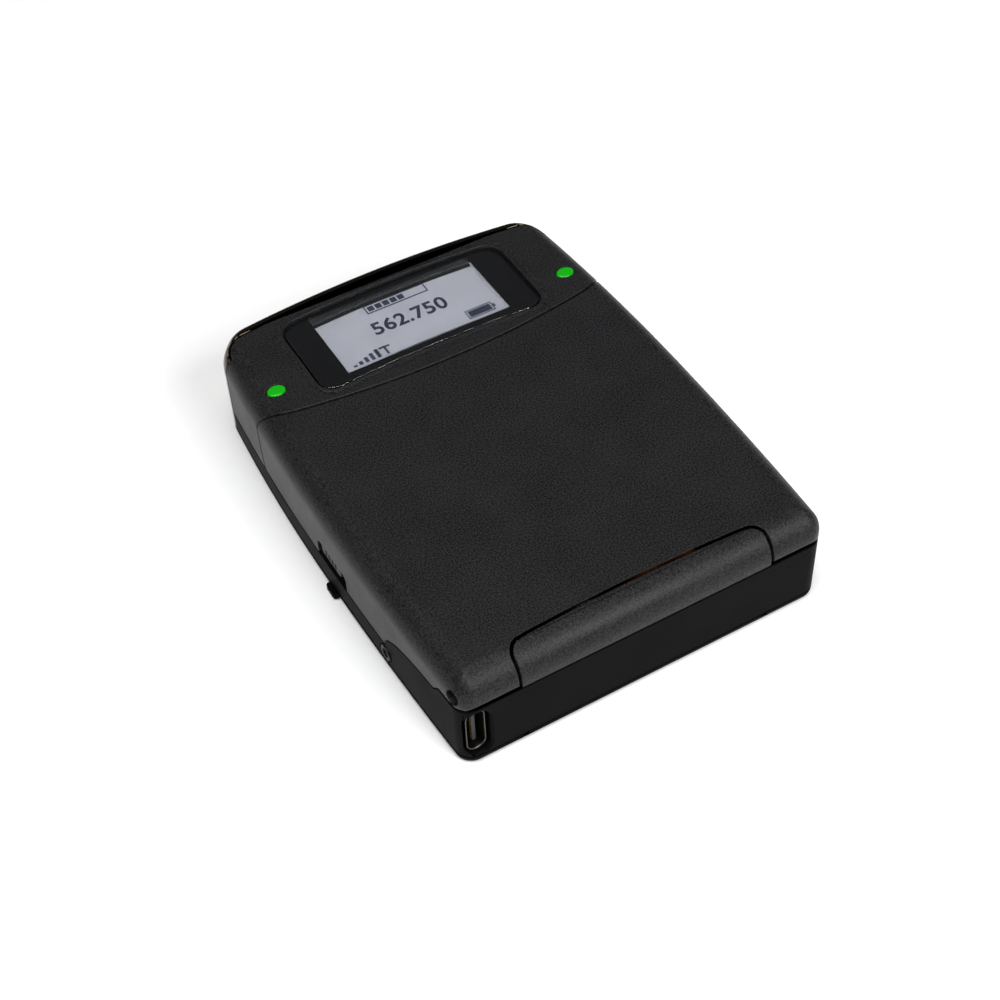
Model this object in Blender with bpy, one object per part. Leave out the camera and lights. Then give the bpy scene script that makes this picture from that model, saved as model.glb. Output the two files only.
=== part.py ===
"""Wireless bodypack transmitter: an assembly of separate solids, in metres, +Z up.

The pack lies on its back. X runs across it, Y runs from the hinge end to the connector end,
and Z runs from the back face to the front face. The origin is the centre of the back face.
Every mesh is drawn from the hinge end of the case, and one empty moves them all to the origin.
"""

from math import acos, atan2, cos, hypot, pi, radians, sin, sqrt

import bmesh
import bpy
from mathutils import Matrix, Vector

MM = 0.001

# Case, seen from the front
CASE_LENGTH = 85.2 * MM
HALF_WIDTH = 32.4 * MM
CASE_DEPTH = 18.0 * MM
WIDEST_Y = 44.0 * MM
LOW_BOW_R = 700.0 * MM
HIGH_BOW_R = 400.0 * MM
ARCH_R = 205.0 * MM
END_CORNER_R = 2.8 * MM
TOP_CORNER_R = 5.0 * MM
LEAST_CORNER_R = 0.6 * MM

# Roundings round the front face
SIDE_ROUND = 4.0 * MM
END_ROUND = 4.5 * MM
ARCH_ROUND = 0.9 * MM
BACK_ROUND = 1.2 * MM

# Walls and the gap that touching pieces keep
STILL_GAP = 0.3 * MM
SWING_GAP = 0.4 * MM
BACK_COVER = 1.4 * MM
SHELL_WALL = 1.6 * MM
FRONT_PLATE = 2.1 * MM
PARTING_Z = 5.5 * MM
RIM_Z = 12.3 * MM

# Battery bay
CELL_R = 7.1 * MM
CELL_LENGTH = 50.5 * MM
CELL_NUB_R = 2.7 * MM
CELL_NUB = 1.2 * MM
CELL_SPACE = 0.6 * MM
BAY_START_Y = 1.9 * MM
BAY_WALL = 1.4 * MM
CONTACT_ROOM = 3.4 * MM
CELL_START_Y = 5.6 * MM
DIVIDER = 1.6 * MM
SPRING_R = 2.9 * MM
SPRING_WIRE_R = 0.35 * MM
SPRING_TURNS = 3

# Door and its hinge
HINGE_Y = 2.6 * MM
HINGE_Z = 14.2 * MM
PIN_R = 1.15 * MM
PIN_GAP = 0.2 * MM
PIN_INNER_X = 14.8 * MM
BLOCK_HALF = 21.2 * MM
BLOCK_LENGTH = 4.7 * MM
BLOCK_BOW = 0.7 * MM
BLOCK_CORNER_R = 2.2 * MM
BLOCK_GAP = 0.5 * MM
ARM_BOTTOM_Z = 12.75 * MM
ARM_CHAMFER = 0.5 * MM
ARM_LENGTH = 6.0 * MM
SEAM_GAP = 0.45 * MM
SEAM_CREST_R = 150.0 * MM
SEAM_PAST_DIVIDER = -2.2 * MM
SEAM_TURN = 5.4 * MM
SEAM_DROP = 2.7 * MM
SKIRT_CURVE_END_Y = 22.0 * MM
SKIRT_CURVE_START_Y = 6.2 * MM

# Side latches
LATCH_Y = 39.65 * MM
LATCH_LENGTH = 6.7 * MM
LATCH_HEIGHT = 2.6 * MM
LATCH_TRAVEL = 1.2 * MM
LATCH_STEM = 4.1 * MM
LATCH_STEM_HEIGHT = 1.6 * MM
LATCH_FOOT = 0.5 * MM

# Window and display
WINDOW_HALF = 20.2 * MM
WINDOW_HEIGHT = 17.6 * MM
WINDOW_TO_CREST = 4.2 * MM
WINDOW_CORNER_R = 2.8 * MM
WINDOW_LEDGE = 1.7 * MM
LENS_THICK = 0.9 * MM
LENS_SUNK = 0.2 * MM
DISPLAY_THICK = 1.3 * MM
DISPLAY_EDGE = 0.8 * MM
PIPE_TO_SIDE = 4.94 * MM
PIPE_TO_CREST = 18.2 * MM
PIPE_HALF_LONG = 1.5 * MM
PIPE_HALF_SHORT = 1.15 * MM

# Top cap, connectors and the power button
CAP_WALL = 1.6 * MM
CAP_SIDE_WALL = 1.2 * MM
CAP_TO_CREST = 6.6 * MM
CONNECTOR_Z = 9.0 * MM
CONNECTOR_OUT = 2.6 * MM
CONNECTOR_IN = 8.6 * MM
CONNECTOR_HEAD = 5.0 * MM
NUT_THICK = 1.8 * MM
ANTENNA_X = -23.2 * MM
ANTENNA_R = 3.15 * MM
ANTENNA_OUT = 4.2 * MM
ANTENNA_BORE_R = 2.3 * MM
ANTENNA_NUT_R = 4.6 * MM
INPUT_X = (8.6 * MM, 23.0 * MM)
INPUT_R = 3.5 * MM
INPUT_BORE_R = 2.7 * MM
INPUT_BORE_DEPTH = 4.0 * MM
INPUT_NUT_R = 4.9 * MM
INPUT_FLANGE_R = 4.1 * MM
POWER_X = -7.6 * MM
POWER_R = 2.1 * MM
BUTTON_TRAVEL = 0.4 * MM

# Side keys
KEY_TO_CREST = (16.7 * MM, 12.6 * MM)
KEY_LENGTH = 2.7 * MM
KEY_HEIGHT = 4.2 * MM
KEY_Z = 9.6 * MM
KEY_LIP = 0.5 * MM
KEY_PROUD = 0.4 * MM

# Charging socket
USB_X = -28.5 * MM
USB_Z = 6.7 * MM
USB_HEIGHT = 8.94 * MM
USB_WIDTH = 3.26 * MM
USB_WALL = 0.3 * MM
USB_LENGTH = 6.5 * MM
USB_SUNK = 0.9 * MM

# Back screws, clip bushes and clip stops
SCREW_X = 22.0 * MM
SCREW_END_Y = 4.6 * MM
SCREW_HEAD_R = 2.0 * MM
SCREW_R = 0.9 * MM
SCREW_LENGTH = 4.6 * MM
BUSH_Y = 22.0 * MM
BUSH_Z = 3.6 * MM
BUSH_R = 1.4 * MM
BUSH_HOLE_R = 0.75 * MM
STOP_Y = 39.1 * MM
STOP_LENGTH = 3.0 * MM
STOP_PROUD = 0.8 * MM

# Boards
BOARD_THICK = 1.0 * MM
BOARD_TO_ARCH = 0.3 * MM

# Places that follow from the sizes above
CHASSIS_Z = BACK_COVER + STILL_GAP
SHELL_Z = PARTING_Z + SWING_GAP
DOOR_UNDERSIDE = CASE_DEPTH - SHELL_WALL
DECK_Z = DOOR_UNDERSIDE - 0.6 * MM
CELL_X = CELL_R + CELL_SPACE / 2
CELL_Z = BACK_COVER + 0.5 * MM + CELL_R
BAY_HALF = CELL_X + CELL_R + 0.5 * MM
CELL_END_Y = CELL_START_Y + CELL_LENGTH
BAY_END_Y = CELL_END_Y + CONTACT_ROOM
DIVIDER_END_Y = BAY_END_Y + DIVIDER
SEAM_Y = DIVIDER_END_Y + SEAM_PAST_DIVIDER
INNER_SIDE = SHELL_WALL + SWING_GAP
SIDE_BAY_START_Y = 9.5 * MM
SIDE_BAY_END_Y = CELL_END_Y - 0.6 * MM
SCREW_TOP_Y = (SIDE_BAY_END_Y + DIVIDER_END_Y) / 2
INNER_CREST = CAP_WALL + STILL_GAP
WINDOW_Y = CASE_LENGTH - WINDOW_TO_CREST - WINDOW_HEIGHT / 2
LENS_TOP_Z = CASE_DEPTH - LENS_SUNK
LENS_BOTTOM_Z = LENS_TOP_Z - LENS_THICK
POCKET_Z = LENS_BOTTOM_Z - STILL_GAP
PLATE_Z = CASE_DEPTH - FRONT_PLATE
BEHIND_CAP = CASE_LENGTH - INNER_CREST - SHELL_WALL
CONNECTOR_BACK = BEHIND_CAP + SHELL_WALL - CONNECTOR_IN

COLOURS = {
    "black_shell": ((0.030, 0.030, 0.031), 0.55, 0.0),
    "black_frame": ((0.022, 0.022, 0.023), 0.60, 0.0),
    "dark_nickel": ((0.16, 0.15, 0.13), 0.28, 1.0),
    "steel": ((0.55, 0.55, 0.56), 0.30, 1.0),
    "gold": ((0.75, 0.55, 0.22), 0.28, 1.0),
    "white_plastic": ((0.80, 0.80, 0.76), 0.45, 0.0),
    "black_plastic": ((0.018, 0.018, 0.018), 0.45, 0.0),
    "dark_glass": ((0.012, 0.012, 0.014), 0.06, 0.0),
    "display_grey": ((0.42, 0.43, 0.45), 0.30, 0.0),
    "green_light": ((0.02, 0.62, 0.02), 0.25, 0.0),
    "rubber": ((0.025, 0.025, 0.025), 0.85, 0.0),
    "board_green": ((0.03, 0.16, 0.07), 0.50, 0.0),
    "tin": ((0.60, 0.60, 0.60), 0.35, 1.0),
    "cell_jacket": ((0.10, 0.11, 0.13), 0.35, 0.0),
}


def clear_scene():
    for thing in list(bpy.data.objects):
        bpy.data.objects.remove(thing)


def make_material(name):
    colour, roughness, metallic = COLOURS[name]
    material = bpy.data.materials.new(name)
    material.use_nodes = True
    shader = material.node_tree.nodes["Principled BSDF"]
    shader.inputs["Base Color"].default_value = (*colour, 1.0)
    shader.inputs["Roughness"].default_value = roughness
    shader.inputs["Metallic"].default_value = metallic
    return material


def case_frame():
    """The empty that puts the middle of the back face at the origin."""
    empty = bpy.data.objects.new("case_frame", None)
    empty.location = (0.0, -CASE_LENGTH / 2, 0.0)
    bpy.context.scene.collection.objects.link(empty)
    return empty


def add_object(name, mesh, material=None, pivot=(0.0, 0.0, 0.0)):
    """One object whose origin is at pivot, with its mesh given in case positions."""
    mesh.transform(Matrix.Translation(-Vector(pivot)))
    thing = bpy.data.objects.new(name, mesh)
    bpy.context.scene.collection.objects.link(thing)
    thing.parent = CASE
    thing.location = pivot
    if material is None:
        thing.hide_render = True
        thing.display_type = "WIRE"
    else:
        mesh.materials.append(MATERIALS[material])
        mesh.shade_smooth()
        mesh.set_sharp_from_angle(angle=radians(30))
    return thing


def join(thing, tool, operation):
    modifier = thing.modifiers.new(f"{operation.lower()}_{tool.name}", "BOOLEAN")
    modifier.operation = operation
    modifier.solver = "EXACT"
    modifier.object = tool


def cut(thing, *tools):
    for tool in tools:
        join(thing, tool, "DIFFERENCE")


def finished_mesh(name, form):
    bmesh.ops.recalc_face_normals(form, faces=form.faces)
    mesh = bpy.data.meshes.new(name)
    form.to_mesh(mesh)
    form.free()
    return mesh


def loft(name, rings):
    """A closed mesh through rings that have equal numbers of points."""
    form = bmesh.new()
    loops = [[form.verts.new(point) for point in ring] for ring in rings]
    count = len(loops[0])
    for low, high in zip(loops, loops[1:]):
        for i in range(count):
            j = (i + 1) % count
            form.faces.new((low[i], low[j], high[j], high[i]))
    form.faces.new(reversed(loops[0]))
    form.faces.new(loops[-1])
    return finished_mesh(name, form)


def box(name, low, high):
    ring = [(low[0], low[1]), (high[0], low[1]), (high[0], high[1]), (low[0], high[1])]
    return loft(name, [[(x, y, z) for x, y in ring] for z in (low[2], high[2])])


def prism_z(name, outline, low, high):
    return loft(name, [[(x, y, z) for x, y in outline] for z in (low, high)])


def prism_x(name, outline, low, high):
    """A profile in Y and Z, drawn out along X."""
    return loft(name, [[(x, y, z) for y, z in outline] for x in (low, high)])


def prism_y(name, outline, low, high):
    """A profile in X and Z, drawn out along Y."""
    return loft(name, [[(x, y, z) for x, z in outline] for y in (low, high)])


def turned(name, profile, centre, axis, sides=24):
    """A profile of (distance along the axis, radius) turned into a closed solid.

    A profile that starts and ends at radius 0 is solid, and any other one is a ring."""
    form = bmesh.new()
    hollow = profile[0][1] > 0
    loops = []
    for along, radius in profile:
        angles = [2 * pi * i / sides for i in range(sides if radius > 0 else 1)]
        loops.append([form.verts.new((radius * cos(a), radius * sin(a), along)) for a in angles])
    pairs = list(zip(loops, loops[1:]))
    if hollow:
        pairs.append((loops[-1], loops[0]))
    for near, far in pairs:
        for i in range(sides):
            j = (i + 1) % sides
            corners = [near[i % len(near)], near[j % len(near)], far[j % len(far)], far[i % len(far)]]
            form.faces.new(list(dict.fromkeys(corners)))
    turn = Vector((0, 0, 1)).rotation_difference(Vector(axis)).to_matrix().to_4x4()
    bmesh.ops.transform(form, matrix=Matrix.Translation(centre) @ turn, verts=form.verts)
    return finished_mesh(name, form)


def rod(name, centre, axis, radius, length, sides=24):
    return turned(name, [(0, 0), (0, radius), (length, radius), (length, 0)], centre, axis, sides)


def arc(centre, radius, start, stop, steps):
    """Points of an arc, with both of its ends."""
    angles = [start + (stop - start) * i / steps for i in range(steps + 1)]
    return [(centre[0] + radius * cos(a), centre[1] + radius * sin(a)) for a in angles]


def rounded_box(half_x, half_y, radius, centre=(0.0, 0.0), steps=4):
    points = []
    for quarter, (sx, sy) in enumerate(((1, 1), (-1, 1), (-1, -1), (1, -1))):
        middle = (centre[0] + sx * (half_x - radius), centre[1] + sy * (half_y - radius))
        points += arc(middle, radius, quarter * pi / 2, (quarter + 1) * pi / 2, steps)
    return points


def half_width(y, inset=0.0):
    """The case's half width at a distance y from the hinge end."""
    bow = LOW_BOW_R if y < WIDEST_Y else HIGH_BOW_R
    return HALF_WIDTH - bow + sqrt((bow - inset) ** 2 - (y - WIDEST_Y) ** 2)


def arch_y(x, inset=0.0):
    """The connector end's outer line at a distance x from the middle."""
    return CASE_LENGTH - ARCH_R + sqrt((ARCH_R - inset) ** 2 - x**2)


def case_outline(side, top, end):
    """The case's outline, anticlockwise from the hinge end, moved in by three insets."""
    low = (HALF_WIDTH - LOW_BOW_R, WIDEST_Y)
    high = (HALF_WIDTH - HIGH_BOW_R, WIDEST_Y)
    crown = (0.0, CASE_LENGTH - ARCH_R)
    low_r = LOW_BOW_R - side
    high_r = HIGH_BOW_R - side
    crown_r = ARCH_R - top
    corner_r = max(END_CORNER_R - (side + end) / 2, LEAST_CORNER_R)
    corner_y = end + corner_r
    corner_x = low[0] + sqrt((low_r - corner_r) ** 2 - (corner_y - low[1]) ** 2)
    corner_end = atan2(corner_y - low[1], corner_x - low[0])
    round_r = max(TOP_CORNER_R - (side + top) / 2, LEAST_CORNER_R)
    gap = hypot(high[0] - crown[0], high[1] - crown[1])
    near_r = high_r - round_r
    far_r = crown_r - round_r
    lean = acos((near_r**2 + gap**2 - far_r**2) / (2 * near_r * gap))
    base = atan2(crown[1] - high[1], crown[0] - high[0])
    swing = base + lean
    round_at = (high[0] + near_r * cos(swing), high[1] + near_r * sin(swing))
    if round_at[0] < 0 or round_at[1] < WIDEST_Y:
        swing = base - lean
        round_at = (high[0] + near_r * cos(swing), high[1] + near_r * sin(swing))
    high_end = atan2(round_at[1] - high[1], round_at[0] - high[0])
    crown_start = atan2(round_at[1] - crown[1], round_at[0] - crown[0])
    right = arc((corner_x, corner_y), corner_r, -pi / 2, corner_end, 4)
    right += arc(low, low_r, corner_end, 0.0, 4)[1:]
    right += arc(high, high_r, 0.0, high_end, 3)[1:]
    right += arc(round_at, round_r, high_end, crown_start, 4)[1:]
    right += arc(crown, crown_r, crown_start, pi / 2, 4)[1:]
    return right + [(-x, y) for x, y in reversed(right[:-1])]


def rounding(radius, z):
    """How far a rounded edge has come in at height z."""
    rise = z - (CASE_DEPTH - radius)
    return 0.0 if rise <= 0 else radius - sqrt(max(radius**2 - rise**2, 0.0))


def case_block(name, low):
    """The full case from height low to the front face, with its rounded front edges."""
    steps = 5
    start = CASE_DEPTH - END_ROUND
    levels = [low] + [start + END_ROUND * sin(i * pi / 2 / steps) for i in range(steps + 1)]
    rings = []
    for z in levels:
        outline = case_outline(rounding(SIDE_ROUND, z), rounding(ARCH_ROUND, z), rounding(END_ROUND, z))
        rings.append([(x, y, z) for x, y in outline])
    return loft(name, rings)


def seam_line(offset, z):
    """The line between door and front shell. Below the hinge it leans with the door's swing."""
    points = []
    count = 18
    for i in range(count + 1):
        x = HALF_WIDTH * 1.1 * (2 * i / count - 1)
        side_x = min(abs(x), HALF_WIDTH)
        turn = max(side_x - (HALF_WIDTH - SEAM_TURN), 0.0) / SEAM_TURN
        reach = SEAM_Y + side_x**2 / 2 / SEAM_CREST_R + SEAM_DROP * turn**2 - HINGE_Y + offset
        points.append((x, HINGE_Y + sqrt(reach**2 - min(z - HINGE_Z, 0.0) ** 2)))
    return points


def seam_cutter(name, offset, far_y):
    """Everything on one side of the seam: towards far_y."""
    rings = []
    for z in (SHELL_Z - 1 * MM, 8.0 * MM, 11.0 * MM, HINGE_Z, CASE_DEPTH + 1 * MM):
        line = [(x, y, z) for x, y in seam_line(offset, z)]
        edge = line[-1][0]
        rings.append([*line, (edge, far_y, z), (-edge, far_y, z)])
    return add_object(name, loft(name, rings))


def skirt_line(gap):
    """The lower edge of the door's skirt, from the hinge end to the far end, raised by gap."""
    run = SKIRT_CURVE_END_Y - SKIRT_CURVE_START_Y
    rise = RIM_Z - PARTING_Z
    points = [(SKIRT_CURVE_START_Y, RIM_Z + gap)]
    steps = 6
    for i in range(1, steps + 1):
        a = i * pi / 2 / steps
        points.append((SKIRT_CURVE_START_Y + run * sin(a), PARTING_Z + rise * 0.8 * cos(a) + gap))
    return points


def window_outline(grow):
    """The window's shape: a rounded box whose long edges follow the case's arch."""
    flat = rounded_box(WINDOW_HALF + grow, WINDOW_HEIGHT / 2 + grow, WINDOW_CORNER_R + min(grow, 0.0) / 2)
    points = []
    for i, (x, y) in enumerate(flat):
        points.append((x, y))
        following = flat[(i + 1) % len(flat)]
        if abs(following[0] - x) > WINDOW_HALF:
            points += [(x + (following[0] - x) * k / 4, y) for k in (1, 2, 3)]
    return [(x, WINDOW_Y + y - x**2 / 2 / ARCH_R) for x, y in points]


def oval(centre, half_x, half_y, sides=20):
    angles = [2 * pi * i / sides for i in range(sides)]
    return [(centre[0] + half_x * cos(a), centre[1] + half_y * sin(a)) for a in angles]


def make_back_cover():
    levels = [(0.0, BACK_ROUND), (0.35 * MM, 0.35 * MM), (BACK_ROUND, 0.0), (BACK_COVER, 0.0)]
    rings = [[(x, y, z) for x, y in case_outline(inset, inset, inset)] for z, inset in levels]
    cover = add_object("back_cover", loft("back_cover", rings), "black_frame")
    for side in (-1, 1):
        inner = side * (half_width(STOP_Y) - 2 * MM)
        outer = side * (half_width(STOP_Y) + STOP_PROUD)
        low = (min(inner, outer), STOP_Y - STOP_LENGTH / 2, 0.25 * MM)
        high = (max(inner, outer), STOP_Y + STOP_LENGTH / 2, BACK_COVER - 0.05 * MM)
        join(cover, add_object(f"stop_tool_{side}", box("stop_tool", low, high)), "UNION")
    for tool in screw_tools("cover_screw", SCREW_HEAD_R + STILL_GAP, BACK_COVER + 0.2 * MM):
        cut(cover, tool)


def screw_places():
    return [(sx * SCREW_X, y) for y in (SCREW_END_Y, SCREW_TOP_Y) for sx in (-1, 1)]


def screw_tools(name, head_r, top):
    """Countersunk holes through the back cover."""
    shank = SCREW_R + STILL_GAP
    head = [(-1 * MM, 0), (-1 * MM, head_r), (0.35 * MM, head_r)]
    profile = [*head, (1.35 * MM, shank), (top, shank), (top, 0)]
    tools = []
    for i, (x, y) in enumerate(screw_places()):
        tools.append(add_object(f"{name}_{i}", turned(name, profile, (x, y, 0), (0, 0, 1), 16)))
    return tools


def make_back_screws():
    profile = [(0.2 * MM, 0), (0.2 * MM, SCREW_HEAD_R), (0.35 * MM, SCREW_HEAD_R), (1.2 * MM, SCREW_R)]
    profile += [(SCREW_LENGTH, SCREW_R), (SCREW_LENGTH, 0)]
    for i, (x, y) in enumerate(screw_places()):
        mesh = turned("back_screw", profile, (x, y, 0), (0, 0, 1), 16)
        add_object(f"back_screw_{i + 1}", mesh, "steel")


def inner_body():
    """The raised middle of the chassis, under the door."""
    side = INNER_SIDE
    levels = [(3 * MM, side), (DECK_Z - 1.4 * MM, side), (DECK_Z, side + 1.6 * MM)]
    start = ARM_LENGTH + 1.8 * MM
    rings = [[(x, y, z) for x, y in case_outline(inset, INNER_CREST, start)] for z, inset in levels]
    body = add_object("inner_body_tool", loft("inner_body", rings))
    low = (-HALF_WIDTH, DIVIDER_END_Y, 0)
    high = (HALF_WIDTH, CASE_LENGTH + 5 * MM, CASE_DEPTH)
    cut(body, add_object("divider_end_tool", box("divider_end", low, high)))
    return body


def arm_end_y(x):
    """Where the case's rounded corner starts, at a distance x from the middle."""
    past = abs(x) - (half_width(END_CORNER_R) - END_CORNER_R)
    return 0.0 if past <= 0 else END_CORNER_R - sqrt(max(END_CORNER_R**2 - past**2, 0.0))


def swing_scoop(side):
    """The round hollow in the end wall that the door's arm turns in."""
    start = BLOCK_HALF - 0.2 * MM
    stop = half_width(END_CORNER_R) - 0.5 * MM
    steps = 8
    profile = [(start, 0.0)]
    for i in range(steps + 1):
        x = start + (stop - start) * sin(i * pi / 2 / steps)
        reach = hypot(HINGE_Y - arm_end_y(x), HINGE_Z - ARM_BOTTOM_Z - ARM_CHAMFER)
        profile.append((x, reach + PIN_GAP))
    profile.append((stop, 0.0))
    mesh = turned("swing_scoop", profile, (0, HINGE_Y, HINGE_Z), (side, 0, 0), 32)
    return add_object(f"swing_scoop_tool_{side}", mesh)


def bay_tools():
    """The openings in the chassis: battery bay, two side bays and the electronics bay."""
    low = (-BAY_HALF, BAY_START_Y, -MM)
    high = (BAY_HALF, BAY_END_Y, CASE_DEPTH)
    tools = [add_object("bay_tool", box("bay", low, high))]
    inner = BAY_HALF + BAY_WALL
    outer = half_width(SIDE_BAY_START_Y, INNER_SIDE) - 1.2 * MM
    for side in (-1, 1):
        low = (min(side * inner, side * outer), SIDE_BAY_START_Y, -MM)
        high = (max(side * inner, side * outer), SIDE_BAY_END_Y, DECK_Z - 1.0 * MM)
        tools.append(add_object(f"side_bay_tool_{side}", box("side_bay", low, high)))
    tools.append(electronics_tool("electronics_tool", -MM, CASE_DEPTH + MM, DIVIDER_END_Y - 0.5 * MM))
    return tools


def electronics_tool(name, low, high, start):
    """The room behind the connector end's walls, from start on."""
    outline = case_outline(SHELL_WALL + CAP_SIDE_WALL, INNER_CREST + SHELL_WALL, 0)
    tool = add_object(name, prism_z(name, outline, low, high))
    edge = (HALF_WIDTH, start, high + MM)
    cut(tool, add_object(f"{name}_end", box(name, (-HALF_WIDTH, -5 * MM, low - MM), edge)))
    return tool


def cap_rebate():
    """The step at the connector end that the top cap fits over."""
    width = HALF_WIDTH + 5 * MM
    low = (-width, CASE_LENGTH - CAP_TO_CREST - STILL_GAP, -MM)
    high = (width, CASE_LENGTH + 5 * MM, CASE_DEPTH + 2 * MM)
    rebate = add_object("cap_rebate_tool", box("cap_rebate", low, high))
    outline = case_outline(CAP_SIDE_WALL + STILL_GAP, INNER_CREST, 0)
    keep = prism_z("cap_keep", outline, -2 * MM, CASE_DEPTH + 3 * MM)
    cut(rebate, add_object("cap_keep_tool", keep))
    return rebate


def connector_tools():
    """Clearance round the connector bodies and the power button, behind the cap."""
    places = [(x, INPUT_FLANGE_R) for x in (ANTENNA_X, *INPUT_X)]
    places += [(POWER_X, POWER_R + KEY_LIP)]
    tools = []
    for i, (x, radius) in enumerate(places):
        start = (x, CONNECTOR_BACK - 1 * MM, CONNECTOR_Z)
        mesh = rod("connector_clearance", start, (0, 1, 0), radius + 0.4 * MM, 15 * MM, 20)
        tools.append(add_object(f"connector_tool_{i}", mesh))
    return tools


def latch_place(side):
    return (side * half_width(LATCH_Y), LATCH_Y, SHELL_Z + 0.1 * MM + LATCH_HEIGHT / 2)


def latch_slot(side):
    """The slot in the chassis wall for the latch's stem, with room for its travel."""
    x, y, z = latch_place(side)
    inner = side * (half_width(SIDE_BAY_START_Y, INNER_SIDE) - 2 * MM)
    half_y = LATCH_STEM / 2 + STILL_GAP
    half_z = LATCH_STEM_HEIGHT / 2 + STILL_GAP
    low = (min(inner, x), y - half_y - LATCH_TRAVEL, z - half_z)
    high = (max(inner, x), y + half_y, z + half_z)
    return add_object(f"latch_slot_tool_{side}", box("latch_slot", low, high))


def usb_outline(grow):
    return rounded_box(
        USB_WIDTH / 2 + grow, USB_HEIGHT / 2 + grow, USB_WIDTH / 2 + grow - 0.02 * MM, (USB_X, USB_Z)
    )


def bush_tool(side):
    start = (side * (half_width(SIDE_BAY_START_Y, INNER_SIDE) - 1.0 * MM), BUSH_Y, BUSH_Z)
    mesh = rod("bush_hole", start, (side, 0, 0), BUSH_R + STILL_GAP, 8 * MM, 16)
    return add_object(f"bush_tool_{side}", mesh)


def make_chassis(rebate, connectors):
    outline = case_outline(0, 0, 0)
    chassis = add_object("chassis", prism_z("chassis", outline, CHASSIS_Z, RIM_Z), "black_frame")
    above = [(SKIRT_CURVE_START_Y, CASE_DEPTH + MM), *skirt_line(0.0)]
    above += [(CASE_LENGTH + MM, PARTING_Z), (CASE_LENGTH + MM, CASE_DEPTH + MM)]
    width = HALF_WIDTH + MM
    cut(chassis, add_object("skirt_tool", prism_x("skirt", above, -width, width)))
    join(chassis, inner_body(), "UNION")
    cut(chassis, *bay_tools(), rebate, *connectors)
    for side in (-1, 1):
        cut(chassis, swing_scoop(side), latch_slot(side), bush_tool(side))
    recess = prism_y("usb_recess", usb_outline(0.35 * MM), -MM, USB_SUNK + USB_LENGTH + STILL_GAP)
    cut(chassis, add_object("usb_recess_tool", recess))
    for i, (x, y) in enumerate(screw_places()):
        mesh = rod("screw_hole", (x, y, 0), (0, 0, 1), SCREW_R + STILL_GAP, SCREW_LENGTH + 0.6 * MM, 16)
        cut(chassis, add_object(f"screw_hole_tool_{i}", mesh))


def make_battery_door(pin_tools):
    form = case_block("battery_door", SHELL_Z)
    door = add_object("battery_door", form, "black_shell", (0, HINGE_Y, HINGE_Z))
    cut(door, seam_cutter("door_seam_tool", -SEAM_GAP / 2, CASE_LENGTH + 9 * MM))
    levels = [(2 * MM, 0.0), (DOOR_UNDERSIDE - 1.2 * MM, 0.0), (DOOR_UNDERSIDE, 1.3 * MM)]
    rings = []
    for z, more in levels:
        outline = case_outline(SHELL_WALL + more, 0.1 * MM, ARM_LENGTH + more / 2)
        rings.append([(x, y, z) for x, y in outline])
    cut(door, add_object("door_hollow_tool", loft("door_hollow", rings)))
    cut(door, *block_notch(), skirt_under())
    for side in (-1, 1):
        x, y, z = latch_place(side)
        swing = 2.4 * MM
        inner = x - side * 4 * MM
        outer = x + side * 2 * MM
        low = (min(inner, outer), y - LATCH_LENGTH / 2 - LATCH_TRAVEL - swing / 2, 0)
        high = (max(inner, outer), y + LATCH_LENGTH / 2 + STILL_GAP, z + LATCH_HEIGHT / 2 + STILL_GAP)
        cut(door, add_object(f"latch_notch_tool_{side}", box("latch_notch", low, high)))
    cut(door, *pin_tools)


def block_edge(x, grow):
    """The hinge block's far edge at a distance x from the middle, moved out by grow."""
    radius = BLOCK_CORNER_R + grow
    y = BLOCK_LENGTH + grow - BLOCK_BOW * (x / BLOCK_HALF) ** 2
    past = abs(x) - (BLOCK_HALF + grow - radius)
    return y if past <= 0 else y - radius + sqrt(max(radius**2 - past**2, 0.0))


def across_block(half):
    """Places across the hinge block that crowd towards its ends."""
    steps = 14
    return [half * sin(pi / 2 * (2 * i / steps - 1)) for i in range(steps + 1)]


def block_notch():
    """The room round the hinge block: a turned tool, so that the door's edge is undercut on its swing,
    and a box below it."""
    half = BLOCK_HALF + BLOCK_GAP
    profile = [(-half, 0.0)]
    for x in across_block(half):
        reach = max(block_edge(x, BLOCK_GAP) - HINGE_Y, 0.0)
        profile.append((x, hypot(reach, CASE_DEPTH - HINGE_Z)))
    profile.append((half, 0.0))
    mesh = turned("block_swing", profile, (0, HINGE_Y, HINGE_Z), (1, 0, 0), 64)
    swing = add_object("block_swing_tool", mesh)
    inner = half - BLOCK_CORNER_R - BLOCK_GAP
    high = (inner, ARM_LENGTH + 1 * MM, DOOR_UNDERSIDE)
    middle = add_object("block_under_tool", box("block_under", (-inner, -2 * MM, 2 * MM), high))
    high = (half, HINGE_Y + 1 * MM, HINGE_Z)
    end = add_object("block_end_tool", box("block_end", (-half, -2 * MM, 2 * MM), high))
    return [swing, middle, end]


def skirt_under():
    """What lies below the door: the chassis's side line raised by the swing gap."""
    line = skirt_line(SWING_GAP)
    profile = [(-MM, MM), (-MM, ARM_BOTTOM_Z + 2 * ARM_CHAMFER + MM), (0, ARM_BOTTOM_Z + ARM_CHAMFER)]
    profile += [(0.4 * MM, ARM_BOTTOM_Z), (SKIRT_CURVE_START_Y - 0.4 * MM, ARM_BOTTOM_Z)]
    profile += line + [(CASE_LENGTH + MM, SHELL_Z), (CASE_LENGTH + MM, MM)]
    width = HALF_WIDTH + MM
    return add_object("skirt_under_tool", prism_x("skirt_under", profile, -width, width))


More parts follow.
